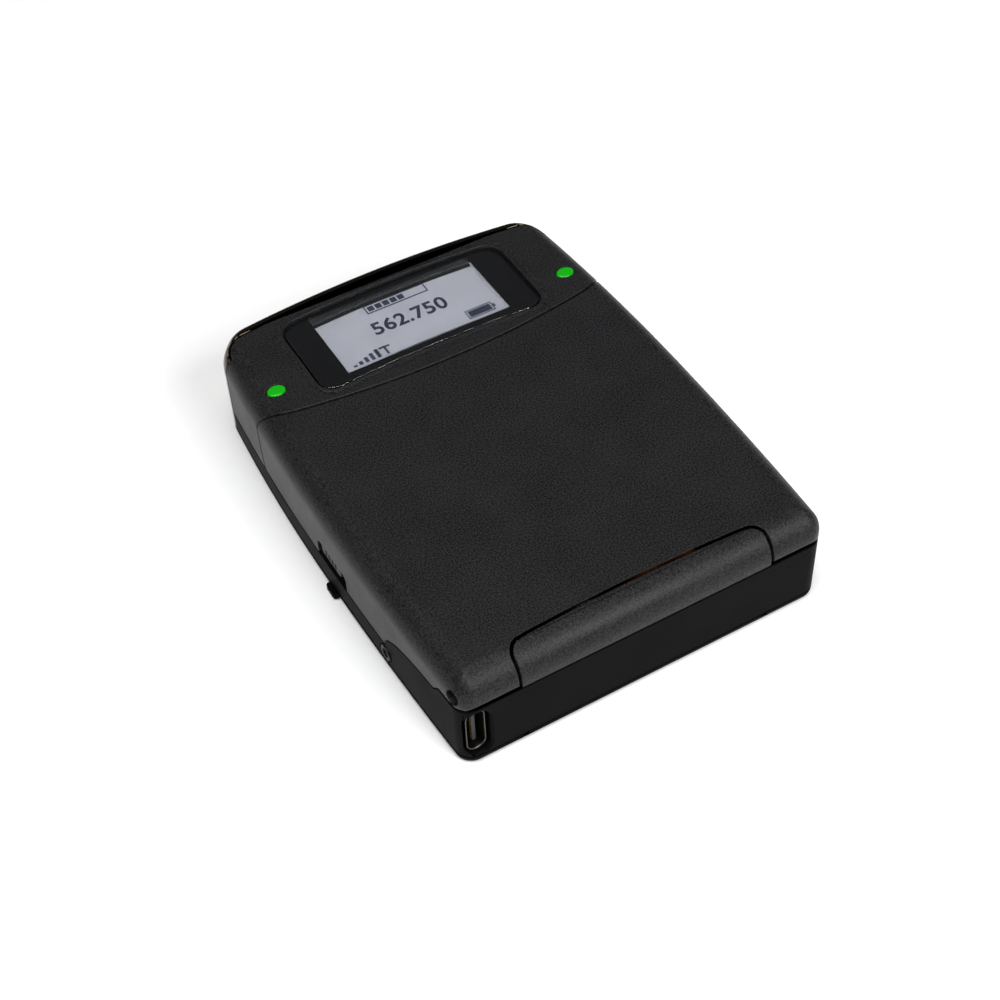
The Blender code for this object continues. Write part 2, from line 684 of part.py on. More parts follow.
def hinge_pin_tools():
    """The bores for both hinge pins, open at the case's sides."""
    tools = []
    for side in (-1, 1):
        start = (side * (PIN_INNER_X - STILL_GAP), HINGE_Y, HINGE_Z)
        mesh = rod("pin_bore", start, (side, 0, 0), PIN_R + PIN_GAP, 25 * MM, 20)
        tools.append(add_object(f"pin_bore_tool_{side}", mesh))
    return tools


def make_hinge_block(pin_tools):
    block = add_object("hinge_block", case_block("hinge_block", RIM_Z + STILL_GAP), "black_shell")
    half = BLOCK_HALF
    top = [(x, block_edge(x, 0.0)) for x in reversed(across_block(half))]
    outline = [(-half, -MM), (half, -MM), *top]
    tool = prism_z("block_shape", outline, RIM_Z - MM, CASE_DEPTH + MM)
    join(block, add_object("block_shape_tool", tool), "INTERSECT")
    cut(block, *pin_tools)


def make_hinge_pins():
    length = half_width(HINGE_Y) - 1.0 * MM - PIN_INNER_X
    for side, word in ((-1, "left"), (1, "right")):
        start = (side * PIN_INNER_X, HINGE_Y, HINGE_Z)
        mesh = rod("hinge_pin", start, (side, 0, 0), PIN_R, length, 20)
        add_object(f"hinge_pin_{word}", mesh, "steel")


def make_front_bezel(rebate, connectors):
    bezel = add_object("front_bezel", case_block("front_bezel", SHELL_Z), "black_shell")
    cut(bezel, seam_cutter("bezel_seam_tool", SEAM_GAP / 2, -9 * MM), rebate)
    hollow = electronics_tool("bezel_hollow_tool", 2 * MM, PLATE_Z, WIDEST_Y)
    cut(bezel, hollow)
    pocket = prism_z("lens_pocket", window_outline(STILL_GAP), POCKET_Z, CASE_DEPTH + MM)
    through = prism_z("lens_hole", window_outline(-WINDOW_LEDGE), PLATE_Z - MM, CASE_DEPTH + MM)
    cut(bezel, add_object("lens_pocket_tool", pocket), add_object("lens_hole_tool", through))
    cut(bezel, *connectors)
    for side in (-1, 1):
        gap = STILL_GAP / 2
        outline = oval(pipe_place(side), PIPE_HALF_LONG + gap, PIPE_HALF_SHORT + gap)
        mesh = prism_z("pipe_hole", outline, PLATE_Z - MM, CASE_DEPTH + MM)
        cut(bezel, add_object(f"pipe_hole_tool_{side}", mesh))
    for i, (y, outline) in enumerate(key_outlines(STILL_GAP / 2)):
        x = half_width(y)
        mesh = prism_x("key_hole", outline, x - 6 * MM, x + 2 * MM)
        cut(bezel, add_object(f"key_hole_tool_{i}", mesh))


def pipe_place(side):
    y = CASE_LENGTH - PIPE_TO_CREST
    return (side * (half_width(y) - PIPE_TO_SIDE), y)


def make_light_pipes():
    """Each pipe shows as an oval in the front shell and ends at a round foot."""
    for side, word in ((-1, "left"), (1, "right")):
        x, y = pipe_place(side)
        levels = [(PLATE_Z - 2.2 * MM, 0.8), (PLATE_Z - 0.2 * MM, 0.8)]
        levels += [(PLATE_Z, 1.0), (CASE_DEPTH - 0.1 * MM, 1.0)]
        rings = []
        for z, share in levels:
            outline = oval((x, y), PIPE_HALF_LONG * share, PIPE_HALF_SHORT * share)
            rings.append([(px, py, z) for px, py in outline])
        crown_z = CASE_DEPTH + 0.05 * MM
        rings.append([(x + (px - x) * 0.6, y + (py - y) * 0.6, crown_z) for px, py, _ in rings[-1]])
        add_object(f"light_pipe_{word}", loft("light_pipe", rings), "green_light")


def make_window():
    mesh = prism_z("window_lens", window_outline(0.0), LENS_BOTTOM_Z, LENS_TOP_Z)
    add_object("window_lens", mesh, "dark_glass")
    top = LENS_BOTTOM_Z - 0.5 * MM
    outline = window_outline(-WINDOW_LEDGE - DISPLAY_EDGE)
    glass = prism_z("display_glass", outline, top - DISPLAY_THICK, top)
    add_object("display_glass", glass, "display_grey")
    frame_top = top - DISPLAY_THICK - STILL_GAP
    half = (WINDOW_HALF - 1.2 * MM, WINDOW_HEIGHT / 2 - 0.6 * MM)
    outline = rounded_box(*half, 0.8 * MM, (0, WINDOW_Y - 0.4 * MM), 2)
    frame = prism_z("display_frame", outline, frame_top - 1.0 * MM, frame_top)
    add_object("display_frame", frame, "black_plastic")
    ring_top = PLATE_Z - STILL_GAP
    ring_low = frame_top + STILL_GAP
    gasket = prism_z("window_gasket", window_outline(-0.2 * MM), ring_low, ring_top)
    gasket = add_object("window_gasket", gasket, "rubber")
    inner = window_outline(-WINDOW_LEDGE - DISPLAY_EDGE + 0.45 * MM)
    cut(gasket, add_object("gasket_tool", prism_z("gasket_hole", inner, ring_low - MM, ring_top + MM)))


def make_top_cap(rebate_start):
    cap = add_object("top_cap", case_block("top_cap", CHASSIS_Z), "dark_nickel")
    low = (-HALF_WIDTH - MM, -5 * MM, -MM)
    high = (HALF_WIDTH + MM, rebate_start, CASE_DEPTH + MM)
    cut(cap, add_object("cap_end_tool", box("cap_end", low, high)))
    inner = prism_z("cap_inner", case_outline(CAP_SIDE_WALL, CAP_WALL, 0), 0, CASE_DEPTH + MM)
    cut(cap, add_object("cap_inner_tool", inner))
    holes = [(ANTENNA_X, ANTENNA_R), *[(x, INPUT_R) for x in INPUT_X], (POWER_X, POWER_R)]
    for i, (x, radius) in enumerate(holes):
        start = (x, CONNECTOR_BACK, CONNECTOR_Z)
        mesh = rod("cap_hole", start, (0, 1, 0), radius + STILL_GAP, 2 * CONNECTOR_IN)
        cut(cap, add_object(f"cap_hole_tool_{i}", mesh))


def cap_face(x, reach):
    """The first distance along Y that clears the cap round a piece of the given reach."""
    return arch_y(max(abs(x) - reach, 0.0)) + STILL_GAP


def make_antenna_jack():
    face = cap_face(ANTENNA_X, ANTENNA_NUT_R)
    back = CONNECTOR_BACK
    mouth = face + ANTENNA_OUT
    shoulder = back + CONNECTOR_HEAD
    place = (ANTENNA_X, 0, CONNECTOR_Z)
    floor = mouth - 3.6 * MM
    profile = [(back, 0), (back, INPUT_FLANGE_R), (shoulder, INPUT_FLANGE_R), (shoulder, ANTENNA_R)]
    profile += [(mouth - 0.3 * MM, ANTENNA_R), (mouth, ANTENNA_R - 0.3 * MM), (mouth, ANTENNA_BORE_R)]
    profile += [(floor, ANTENNA_BORE_R), (floor, 0)]
    add_object("antenna_jack", turned("antenna_jack", profile, place, (0, 1, 0)), "gold")
    insulator_r = ANTENNA_BORE_R - STILL_GAP
    hole_r = 0.75 * MM
    top = mouth - 0.6 * MM
    low = floor + STILL_GAP
    profile = [(low, hole_r), (top, hole_r), (top, insulator_r), (low, insulator_r)]
    add_object("antenna_insulator", turned("insulator", profile, place, (0, 1, 0), 20), "white_plastic")
    contact_r = hole_r - 0.25 * MM
    profile = [(low, 0), (low, contact_r), (mouth - 0.4 * MM, contact_r), (mouth - 0.4 * MM, 0.25 * MM)]
    profile += [(mouth - 1.6 * MM, 0.25 * MM), (mouth - 1.6 * MM, 0)]
    add_object("antenna_contact", turned("contact", profile, place, (0, 1, 0), 12), "gold")
    inner = ANTENNA_R + STILL_GAP
    add_object("antenna_nut", hex_ring("antenna_nut", face, NUT_THICK, inner, place), "steel")


def hex_ring(name, start, thick, inner, place):
    """A six-sided nut round an axis along Y."""
    sides = 24
    outer_ring = []
    for i in range(sides):
        a = 2 * pi * i / sides
        reach = cos(pi / 6) / cos((a % (pi / 3)) - pi / 6)
        outer_ring.append((ANTENNA_NUT_R * reach * cos(a), ANTENNA_NUT_R * reach * sin(a)))
    inner_ring = [(inner * cos(2 * pi * i / sides), inner * sin(2 * pi * i / sides)) for i in range(sides)]
    end = start + thick
    rings = [(inner_ring, start), (outer_ring, start), (outer_ring, end), (inner_ring, end)]
    form = bmesh.new()
    loops = [[form.verts.new((place[0] + x, y, place[2] + z)) for x, z in ring] for ring, y in rings]
    for near, far in zip(loops, loops[1:] + loops[:1]):
        for i in range(sides):
            j = (i + 1) % sides
            form.faces.new((near[i], near[j], far[j], far[i]))
    return finished_mesh(name, form)


def make_input_socket(number, x):
    face = cap_face(x, INPUT_NUT_R)
    back = CONNECTOR_BACK
    mouth = face + CONNECTOR_OUT
    shoulder = back + CONNECTOR_HEAD
    place = (x, 0, CONNECTOR_Z)
    floor = mouth - INPUT_BORE_DEPTH
    profile = [(back, 0), (back, INPUT_FLANGE_R), (shoulder, INPUT_FLANGE_R), (shoulder, INPUT_R)]
    profile += [(mouth - 0.3 * MM, INPUT_R), (mouth, INPUT_R - 0.3 * MM), (mouth, INPUT_BORE_R)]
    profile += [(floor, INPUT_BORE_R), (floor, 0)]
    add_object(f"input_socket_{number}", turned("input_socket", profile, place, (0, 1, 0)), "dark_nickel")
    low = floor + STILL_GAP
    top = low + 0.8 * MM
    disc = rod("input_insert", (x, low, CONNECTOR_Z), (0, 1, 0), INPUT_BORE_R - STILL_GAP, 0.8 * MM, 20)
    insert = add_object(f"input_insert_{number}", disc, "black_plastic")
    for i in range(3):
        a = 2 * pi * i / 3 + pi / 2
        start = (x + 1.3 * MM * cos(a), top - 0.4 * MM, CONNECTOR_Z + 1.3 * MM * sin(a))
        pin = rod("input_pin", start, (0, 1, 0), 0.35 * MM, 2.4 * MM, 8)
        join(insert, add_object(f"pin_tool_{number}_{i}", pin), "UNION")
    inner = INPUT_R + STILL_GAP
    end = face + NUT_THICK
    bevel = 0.3 * MM
    profile = [(face, inner), (face, INPUT_NUT_R), (end - bevel, INPUT_NUT_R)]
    profile += [(end, INPUT_NUT_R - bevel), (end, inner)]
    add_object(f"input_nut_{number}", turned("input_nut", profile, place, (0, 1, 0)), "dark_nickel")


def make_power_button():
    """A round push button through the cap, held in by its flange, with its switch behind it."""
    outer = cap_face(POWER_X, POWER_R)
    wall = arch_y(abs(POWER_X) + POWER_R, CAP_WALL) - STILL_GAP
    flange = wall - 0.8 * MM
    place = (POWER_X, 0, CONNECTOR_Z)
    profile = [(flange, 0), (flange, POWER_R + KEY_LIP), (wall, POWER_R + KEY_LIP), (wall, POWER_R)]
    profile += [(outer, POWER_R), (outer + 0.3 * MM, POWER_R - 0.3 * MM), (outer + 0.3 * MM, 0)]
    mesh = turned("power_button", profile, place, (0, 1, 0))
    add_object("power_button", mesh, "black_plastic", (POWER_X, flange, CONNECTOR_Z))
    top = flange - BUTTON_TRAVEL - STILL_GAP
    low = (POWER_X - 2.2 * MM, top - 2.5 * MM, CONNECTOR_Z - 2.2 * MM)
    high = (POWER_X + 2.2 * MM, top, CONNECTOR_Z + 2.2 * MM)
    add_object("power_switch", box("power_switch", low, high), "tin")


def key_outlines(grow):
    places = []
    for to_crest in KEY_TO_CREST:
        y = CASE_LENGTH - to_crest
        outline = rounded_box(KEY_LENGTH / 2 + grow, KEY_HEIGHT / 2 + grow, 0.8 * MM + grow, (y, KEY_Z), 3)
        places.append((y, outline))
    return places


def make_side_keys():
    """Two keys in the right wall, each held in by a lip, with a switch behind it."""
    wall = SHELL_WALL + CAP_SIDE_WALL + STILL_GAP
    for word, (y, outline), (_, lip) in zip(("down", "up"), key_outlines(0.0), key_outlines(KEY_LIP)):
        face = half_width(y) + KEY_PROUD
        inner = half_width(y + KEY_LENGTH / 2) - wall
        rings = [[(inner - 0.8 * MM, p, q) for p, q in lip], [(inner, p, q) for p, q in lip]]
        rings += [[(inner, p, q) for p, q in outline], [(face, p, q) for p, q in outline]]
        pivot = (inner, y, KEY_Z)
        add_object(f"button_{word}", loft("key", rings), "black_plastic", pivot)
        top = inner - 0.8 * MM - BUTTON_TRAVEL - STILL_GAP
        half_y = KEY_LENGTH / 2
        low = (top - 2.0 * MM, y - half_y, KEY_Z - 2.0 * MM)
        high = (top, y + half_y, KEY_Z + 2.0 * MM)
        add_object(f"key_switch_{word}", box("key_switch", low, high), "tin")


def make_usb_socket():
    """The metal shell of the charging socket, and its tongue and base inside it."""
    outer = usb_outline(0.0)
    inner = usb_outline(-USB_WALL)
    front = USB_SUNK
    back = USB_SUNK + USB_LENGTH
    floor = back - 0.4 * MM
    rings = [(inner, floor), (inner, front), (outer, front), (outer, back)]
    shell = loft("usb_shell", [[(x, y, z) for x, z in ring] for ring, y in rings])
    add_object("usb_shell", shell, "steel")
    base_top = floor - STILL_GAP
    base = prism_y("usb_tongue", usb_outline(-USB_WALL - 0.25 * MM), base_top - 1.4 * MM, base_top)
    tongue = add_object("usb_tongue", base, "black_plastic")
    low = (USB_X - 0.35 * MM, front + 0.8 * MM, USB_Z - 3.3 * MM)
    high = (USB_X + 0.35 * MM, base_top - MM, USB_Z + 3.3 * MM)
    join(tongue, add_object("tongue_tool", box("tongue", low, high)), "UNION")


def make_latches():
    """A finger plate outside, a stem through the chassis wall and a foot inside."""
    for side, word in ((-1, "left"), (1, "right")):
        x, y, z = latch_place(side)
        face = abs(x) - 0.1 * MM
        plate_in = half_width(y, INNER_SIDE) + STILL_GAP
        wall_in = half_width(SIDE_BAY_START_Y, INNER_SIDE) - 1.2 * MM - STILL_GAP
        foot_in = wall_in - 1.0 * MM
        plate = rounded_box(LATCH_LENGTH / 2, LATCH_HEIGHT / 2, 0.5 * MM, (y, z), 2)
        stem = rounded_box(LATCH_STEM / 2, LATCH_STEM_HEIGHT / 2, 0.3 * MM, (y, z), 2)
        grow = LATCH_FOOT
        foot = rounded_box(LATCH_STEM / 2 + grow, LATCH_STEM_HEIGHT / 2 + grow, 0.3 * MM, (y, z), 2)
        rings = [(foot, foot_in), (foot, wall_in), (stem, wall_in)]
        rings += [(stem, plate_in), (plate, plate_in), (plate, face)]
        mesh = loft("latch", [[(side * reach, p, q) for p, q in ring] for ring, reach in rings])
        add_object(f"latch_{word}", mesh, "black_plastic", (x, y, z))


def make_clip_bushes():
    """Blind metal bushes in both sides that take the ends of a wire belt clip."""
    for side, word in ((-1, "left"), (1, "right")):
        start = half_width(SIDE_BAY_START_Y, INNER_SIDE) - 0.6 * MM
        end = half_width(BUSH_Y) + 0.15 * MM
        floor = end - 2.0 * MM
        profile = [(start, 0), (start, BUSH_R), (end - 0.2 * MM, BUSH_R), (end, BUSH_R - 0.2 * MM)]
        profile += [(end, BUSH_HOLE_R), (floor, BUSH_HOLE_R), (floor, 0)]
        mesh = turned("clip_bush", profile, (0, BUSH_Y, BUSH_Z), (side, 0, 0), 16)
        add_object(f"clip_bush_{word}", mesh, "black_plastic")


def make_cells():
    """Two cells side by side, the right one turned end for end."""
    flat = CELL_R - 0.4 * MM
    profile = [(0, 0), (0, flat), (0.4 * MM, CELL_R), (CELL_LENGTH - CELL_NUB - 0.4 * MM, CELL_R)]
    profile += [(CELL_LENGTH - CELL_NUB, flat), (CELL_LENGTH - CELL_NUB, CELL_NUB_R)]
    profile += [(CELL_LENGTH, CELL_NUB_R), (CELL_LENGTH, 0)]
    left = turned("cell_left", profile, (-CELL_X, CELL_START_Y, CELL_Z), (0, 1, 0), 24)
    right = turned("cell_right", profile, (CELL_X, CELL_END_Y, CELL_Z), (0, -1, 0), 24)
    add_object("cell_left", left, "cell_jacket")
    add_object("cell_right", right, "cell_jacket")


def make_contacts():
    """A coil spring at each flat end, and a folded plate at each nub."""
    bay_low = BAY_START_Y + STILL_GAP
    bay_high = BAY_END_Y - STILL_GAP
    cell_low = CELL_START_Y - STILL_GAP
    cell_high = CELL_END_Y + STILL_GAP
    add_object("contact_spring_left", coil("contact_spring", -CELL_X, bay_low, cell_low), "steel")
    add_object("contact_spring_right", coil("contact_spring", CELL_X, cell_high, bay_high), "steel")
    thick = 0.4 * MM
    low_z = CELL_Z - 3.0 * MM
    high_z = CELL_Z + 2.8 * MM
    for word, x, cell_side, wall_side in (
        ("left", -CELL_X, cell_high, bay_high),
        ("right", CELL_X, cell_low, bay_low),
    ):
        turn = thick if wall_side > cell_side else -thick
        profile = [(cell_side, high_z), (cell_side, low_z), (wall_side, low_z), (wall_side, low_z + thick)]
        profile += [(cell_side + turn, low_z + thick), (cell_side + turn, high_z)]
        mesh = prism_x("contact_plate", profile, x - 3.5 * MM, x + 3.5 * MM)
        add_object(f"contact_plate_{word}", mesh, "steel")


def coil(name, x, start, stop):
    """A round wire wound into a coil between start and stop along Y."""
    form = bmesh.new()
    steps = SPRING_TURNS * 9
    sides = 6
    run = stop - start - 2 * SPRING_WIRE_R
    loops = []
    for i in range(steps + 1):
        a = 2 * pi * SPRING_TURNS * i / steps
        y = start + SPRING_WIRE_R + run * i / steps
        loop = []
        for k in range(sides):
            b = 2 * pi * k / sides
            reach = SPRING_R + SPRING_WIRE_R * cos(b)
            place = (x + reach * cos(a), y + SPRING_WIRE_R * sin(b), CELL_Z + reach * sin(a))
            loop.append(form.verts.new(place))
        loops.append(loop)
    for near, far in zip(loops, loops[1:]):
        for k in range(sides):
            m = (k + 1) % sides
            form.faces.new((near[k], near[m], far[m], far[k]))
    form.faces.new(loops[0])
    form.faces.new(loops[-1])
    return finished_mesh(name, form)


def make_boards():
    low_z = CHASSIS_Z + 0.5 * MM
    high_z = low_z + BOARD_THICK
    start = DIVIDER_END_Y + 0.6 * MM
    half = half_width(BEHIND_CAP, SHELL_WALL + CAP_SIDE_WALL) - 3.0 * MM
    stop = arch_y(half, INNER_CREST + SHELL_WALL) - BOARD_TO_ARCH
    board = box("main_board", (-half, start, low_z), (half, stop, high_z))
    add_object("main_board", board, "board_green")
    can_z = high_z + STILL_GAP
    can_end = CONNECTOR_BACK - 0.5 * MM
    can_half = half - 1.0 * MM
    for word, low_x, high_x in (("rf", -can_half, -1.2 * MM), ("audio", 1.2 * MM, can_half)):
        mesh = box("shield", (low_x, start + 0.6 * MM, can_z), (high_x, can_end, can_z + 3.2 * MM))
        shield = add_object(f"{word}_shield", mesh, "tin")
        bevel = shield.modifiers.new("edges", "BEVEL")
        bevel.width = 0.3 * MM
        bevel.segments = 1
    inner = BAY_HALF + BAY_WALL + 0.5 * MM
    outer = half_width(SIDE_BAY_START_Y, INNER_SIDE) - 1.7 * MM
    for side, word in ((-1, "left"), (1, "right")):
        low = (min(side * inner, side * outer), SIDE_BAY_START_Y + 0.5 * MM, low_z)
        high = (max(side * inner, side * outer), SIDE_BAY_END_Y - 0.5 * MM, high_z)
        add_object(f"side_board_{word}", box("side_board", low, high), "board_green")


clear_scene()
MATERIALS = {name: make_material(name) for name in COLOURS}
CASE = case_frame()
REBATE = cap_rebate()
CONNECTORS = connector_tools()
PINS = hinge_pin_tools()
make_back_cover()
make_back_screws()
make_chassis(REBATE, CONNECTORS)
make_front_bezel(REBATE, CONNECTORS)
make_top_cap(CASE_LENGTH - CAP_TO_CREST)
make_battery_door(PINS)
make_hinge_block(PINS)
make_hinge_pins()
make_window()
make_light_pipes()
make_antenna_jack()
for count, place_x in enumerate(INPUT_X):
    make_input_socket(count + 1, place_x)
make_power_button()
make_side_keys()
make_usb_socket()
make_latches()
make_clip_bushes()
make_cells()
make_contacts()
make_boards()
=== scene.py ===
from math import acos, atan2, cos, hypot, pi, radians, sin, sqrt

import bmesh
import bpy
from mathutils import Matrix, Vector


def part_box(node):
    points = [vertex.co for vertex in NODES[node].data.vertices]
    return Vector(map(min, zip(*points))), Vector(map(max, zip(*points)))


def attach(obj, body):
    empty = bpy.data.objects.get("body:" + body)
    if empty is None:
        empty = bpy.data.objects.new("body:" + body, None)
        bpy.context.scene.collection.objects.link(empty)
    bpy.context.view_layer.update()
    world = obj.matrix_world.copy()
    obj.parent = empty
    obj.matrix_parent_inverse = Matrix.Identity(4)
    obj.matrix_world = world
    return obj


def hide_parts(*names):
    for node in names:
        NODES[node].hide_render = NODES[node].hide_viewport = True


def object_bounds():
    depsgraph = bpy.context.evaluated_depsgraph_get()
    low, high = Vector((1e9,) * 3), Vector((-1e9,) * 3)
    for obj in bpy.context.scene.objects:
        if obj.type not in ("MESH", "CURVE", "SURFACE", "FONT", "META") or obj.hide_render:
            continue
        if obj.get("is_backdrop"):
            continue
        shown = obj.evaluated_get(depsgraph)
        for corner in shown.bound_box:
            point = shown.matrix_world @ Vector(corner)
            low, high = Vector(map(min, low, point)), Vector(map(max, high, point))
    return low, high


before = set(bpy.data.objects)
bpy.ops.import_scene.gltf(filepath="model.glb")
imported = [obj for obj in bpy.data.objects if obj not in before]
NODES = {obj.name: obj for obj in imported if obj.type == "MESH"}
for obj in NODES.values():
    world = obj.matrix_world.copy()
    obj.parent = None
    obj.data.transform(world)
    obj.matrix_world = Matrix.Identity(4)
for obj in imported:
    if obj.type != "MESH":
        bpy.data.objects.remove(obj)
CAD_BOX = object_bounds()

MM = 0.001

# ---- Camera and studio ------------------------------------------------------------------------
# A product shot from above the hinge end, to its left: a long lens, a white table, and soft light
# from large panels that leave the middle of the edge roundings dark.

CAMERA_AT = Vector((-93.2, -173.8, 215.7)) * MM
LOOKS_AT = Vector((-4.6, -7.4, 9.0)) * MM
CAMERA_ROLL = radians(-2.82)
LENS = 64.8


def add_object(name, data):
    """A new object in the scene."""
    made = bpy.data.objects.new(name, data)
    bpy.context.scene.collection.objects.link(made)
    return made


def place_camera():
    data = bpy.data.cameras.new("camera")
    data.lens = LENS
    data.sensor_width = 36.0
    data.clip_start = 0.01
    camera = add_object("camera", data)
    aim = (LOOKS_AT - CAMERA_AT).to_track_quat("-Z", "Y").to_matrix().to_4x4()
    camera.matrix_world = Matrix.Translation(CAMERA_AT) @ aim @ Matrix.Rotation(CAMERA_ROLL, 4, "Z")
    bpy.context.scene.camera = camera


def place_panel(name, at, size, power):
    """A square light panel that faces the pack."""
    data = bpy.data.lights.new(name, "AREA")
    data.size = size
    data.energy = power
    panel = add_object(name, data)
    turn = (-Vector(at)).to_track_quat("-Z", "Y").to_matrix().to_4x4()
    panel.matrix_world = Matrix.Translation(at) @ turn


def srgb(code):
    """An sRGB hex value as a linear colour."""
    parts = [int(code[i : i + 2], 16) / 255 for i in (1, 3, 5)]
    return (*[p / 12.92 if p <= 0.04045 else ((p + 0.055) / 1.055) ** 2.4 for p in parts], 1.0)


def add_node(tree, kind, inputs=None, **settings):
    """Adds a node. An input is a value, or the socket that it is linked to."""
    made = tree.nodes.new(kind)
    for name, value in settings.items():
        setattr(made, name, value)
    for name, value in (inputs or {}).items():
        if isinstance(value, bpy.types.NodeSocket):
            tree.links.new(value, made.inputs[name])
        else:
            made.inputs[name].default_value = value
    return made


def start_material(name):
    """A new material: its tree, its Principled shader, and the piece's own coordinates."""
    material = bpy.data.materials.new(name)
    material.use_nodes = True
    tree = material.node_tree
    place = add_node(tree, "ShaderNodeTexCoord").outputs["Object"]
    return material, tree, tree.nodes["Principled BSDF"], place


SLOW_GRAINS = 30


def make_finish(
    name, code, roughness, metallic=0.0, grain=0.3, depth=0.01,
    mottle=0.12, drag=(1, 1, 1), gleam=0.5, speckle=0.5,
):
    """A surface with a grain of a size and a depth in mm, and slow changes of tone and gloss.

    drag stretches the grain along an axis, as brushing or drawing does. gleam is how strongly a
    surface that is no metal mirrors, and speckle is the grain's share of the changes of tone."""
    material, tree, shader, place = start_material(name)
    along = add_node(tree, "ShaderNodeMapping", {"Vector": place, "Scale": drag}).outputs["Vector"]
    close = {"Vector": along, "Scale": 1 / (grain * MM), "Detail": 2.0}
    fine = add_node(tree, "ShaderNodeTexNoise", close)
    wide = {"Vector": along, "Scale": 1 / (SLOW_GRAINS * grain * MM), "Detail": 4.0}
    slow = add_node(tree, "ShaderNodeTexNoise", wide)
    both = add_node(tree, "ShaderNodeMix", {0: speckle, 2: slow.outputs[0], 3: fine.outputs[0]})
    limits = {"Value": both.outputs[0], "From Min": 0.35, "From Max": 0.65}
    limits.update({"To Min": 1 - mottle, "To Max": 1 + mottle})
    tone = add_node(tree, "ShaderNodeMapRange", limits)
    tint = {0: srgb(code)[:3], "Scale": tone.outputs[0]}
    colour = add_node(tree, "ShaderNodeVectorMath", tint, operation="SCALE")
    tree.links.new(colour.outputs[0], shader.inputs["Base Color"])
    limits = {"Value": slow.outputs[0], "From Min": 0.3, "From Max": 0.7}
    limits.update({"To Min": roughness * 0.92, "To Max": min(roughness * 1.1, 1.0)})
    gloss = add_node(tree, "ShaderNodeMapRange", limits)
    tree.links.new(gloss.outputs[0], shader.inputs["Roughness"])
    rise = {"Height": fine.outputs[0], "Distance": depth * MM, "Strength": 1.0}
    bump = add_node(tree, "ShaderNodeBump", rise)
    tree.links.new(bump.outputs[0], shader.inputs["Normal"])
    shader.inputs["Metallic"].default_value = metallic
    if not metallic:
        shader.inputs["Specular IOR Level"].default_value = gleam
    return material


place_camera()
place_panel("side_panel", (-0.55, -0.05, 0.50), 0.35, 0.5)
place_panel("end_panel", (0.20, -0.55, 0.46), 0.42, 4.8)
place_panel("top_panel", (-0.20, -0.10, 0.90), 0.60, 7.0)
world = bpy.data.worlds.new("studio")
world.use_nodes = True
world.node_tree.nodes["Background"].inputs["Color"].default_value = srgb("#f4f6fa")
world.node_tree.nodes["Background"].inputs["Strength"].default_value = 0.12
bpy.context.scene.world = world
bpy.context.scene.view_settings.view_transform = "Standard"

form = bmesh.new()
bmesh.ops.create_grid(form, x_segments=1, y_segments=1, size=3.0)
table_mesh = bpy.data.meshes.new("table")
form.to_mesh(table_mesh)
form.free()
table_top = add_object("table", table_mesh)
# White laminate: a faint matt mottle.
LAMINATE = make_finish("white_laminate", "#fbfbfb", 0.6, grain=2.0, depth=0.002, mottle=0.01)
table_mesh.materials.append(LAMINATE)
table_top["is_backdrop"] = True

# ---- Back cover -------------------------------------------------------------------------------
# A thin die-cast plate with a rounded rim and a stop for a wire belt clip on each side, painted
# matt black. Four countersunk screws hold it to the chassis.

HALF_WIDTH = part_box("battery_door")[1][0]
END_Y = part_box("back_cover")[0][1]
CREST_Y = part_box("back_cover")[1][1]
CASE_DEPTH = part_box("hinge_block")[1][2]
COVER_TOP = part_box("back_cover")[1][2]
WIDEST_Y = END_Y + 44.0 * MM
LOW_BOW_R = 700.0 * MM
HIGH_BOW_R = 400.0 * MM
ARCH_R = 205.0 * MM
END_CORNER_R = 2.8 * MM
TOP_CORNER_R = 5.0 * MM
LEAST_CORNER_R = 0.6 * MM
STOP_Y = END_Y + 39.1 * MM
STOP_HALF = 1.5 * MM
NOTCH_X = 20.9 * MM
GAP = 0.3 * MM
BEYOND = 60 * MM


def arc(centre, radius, start, stop, steps):
    """Points of an arc, with both of its ends."""
    angles = [start + (stop - start) * i / steps for i in range(steps + 1)]
    return [(centre[0] + radius * cos(a), centre[1] + radius * sin(a)) for a in angles]


def half_width(y, inset=0.0):
    bow = LOW_BOW_R if y < WIDEST_Y else HIGH_BOW_R
    return HALF_WIDTH - bow + sqrt((bow - inset) ** 2 - (y - WIDEST_Y) ** 2)


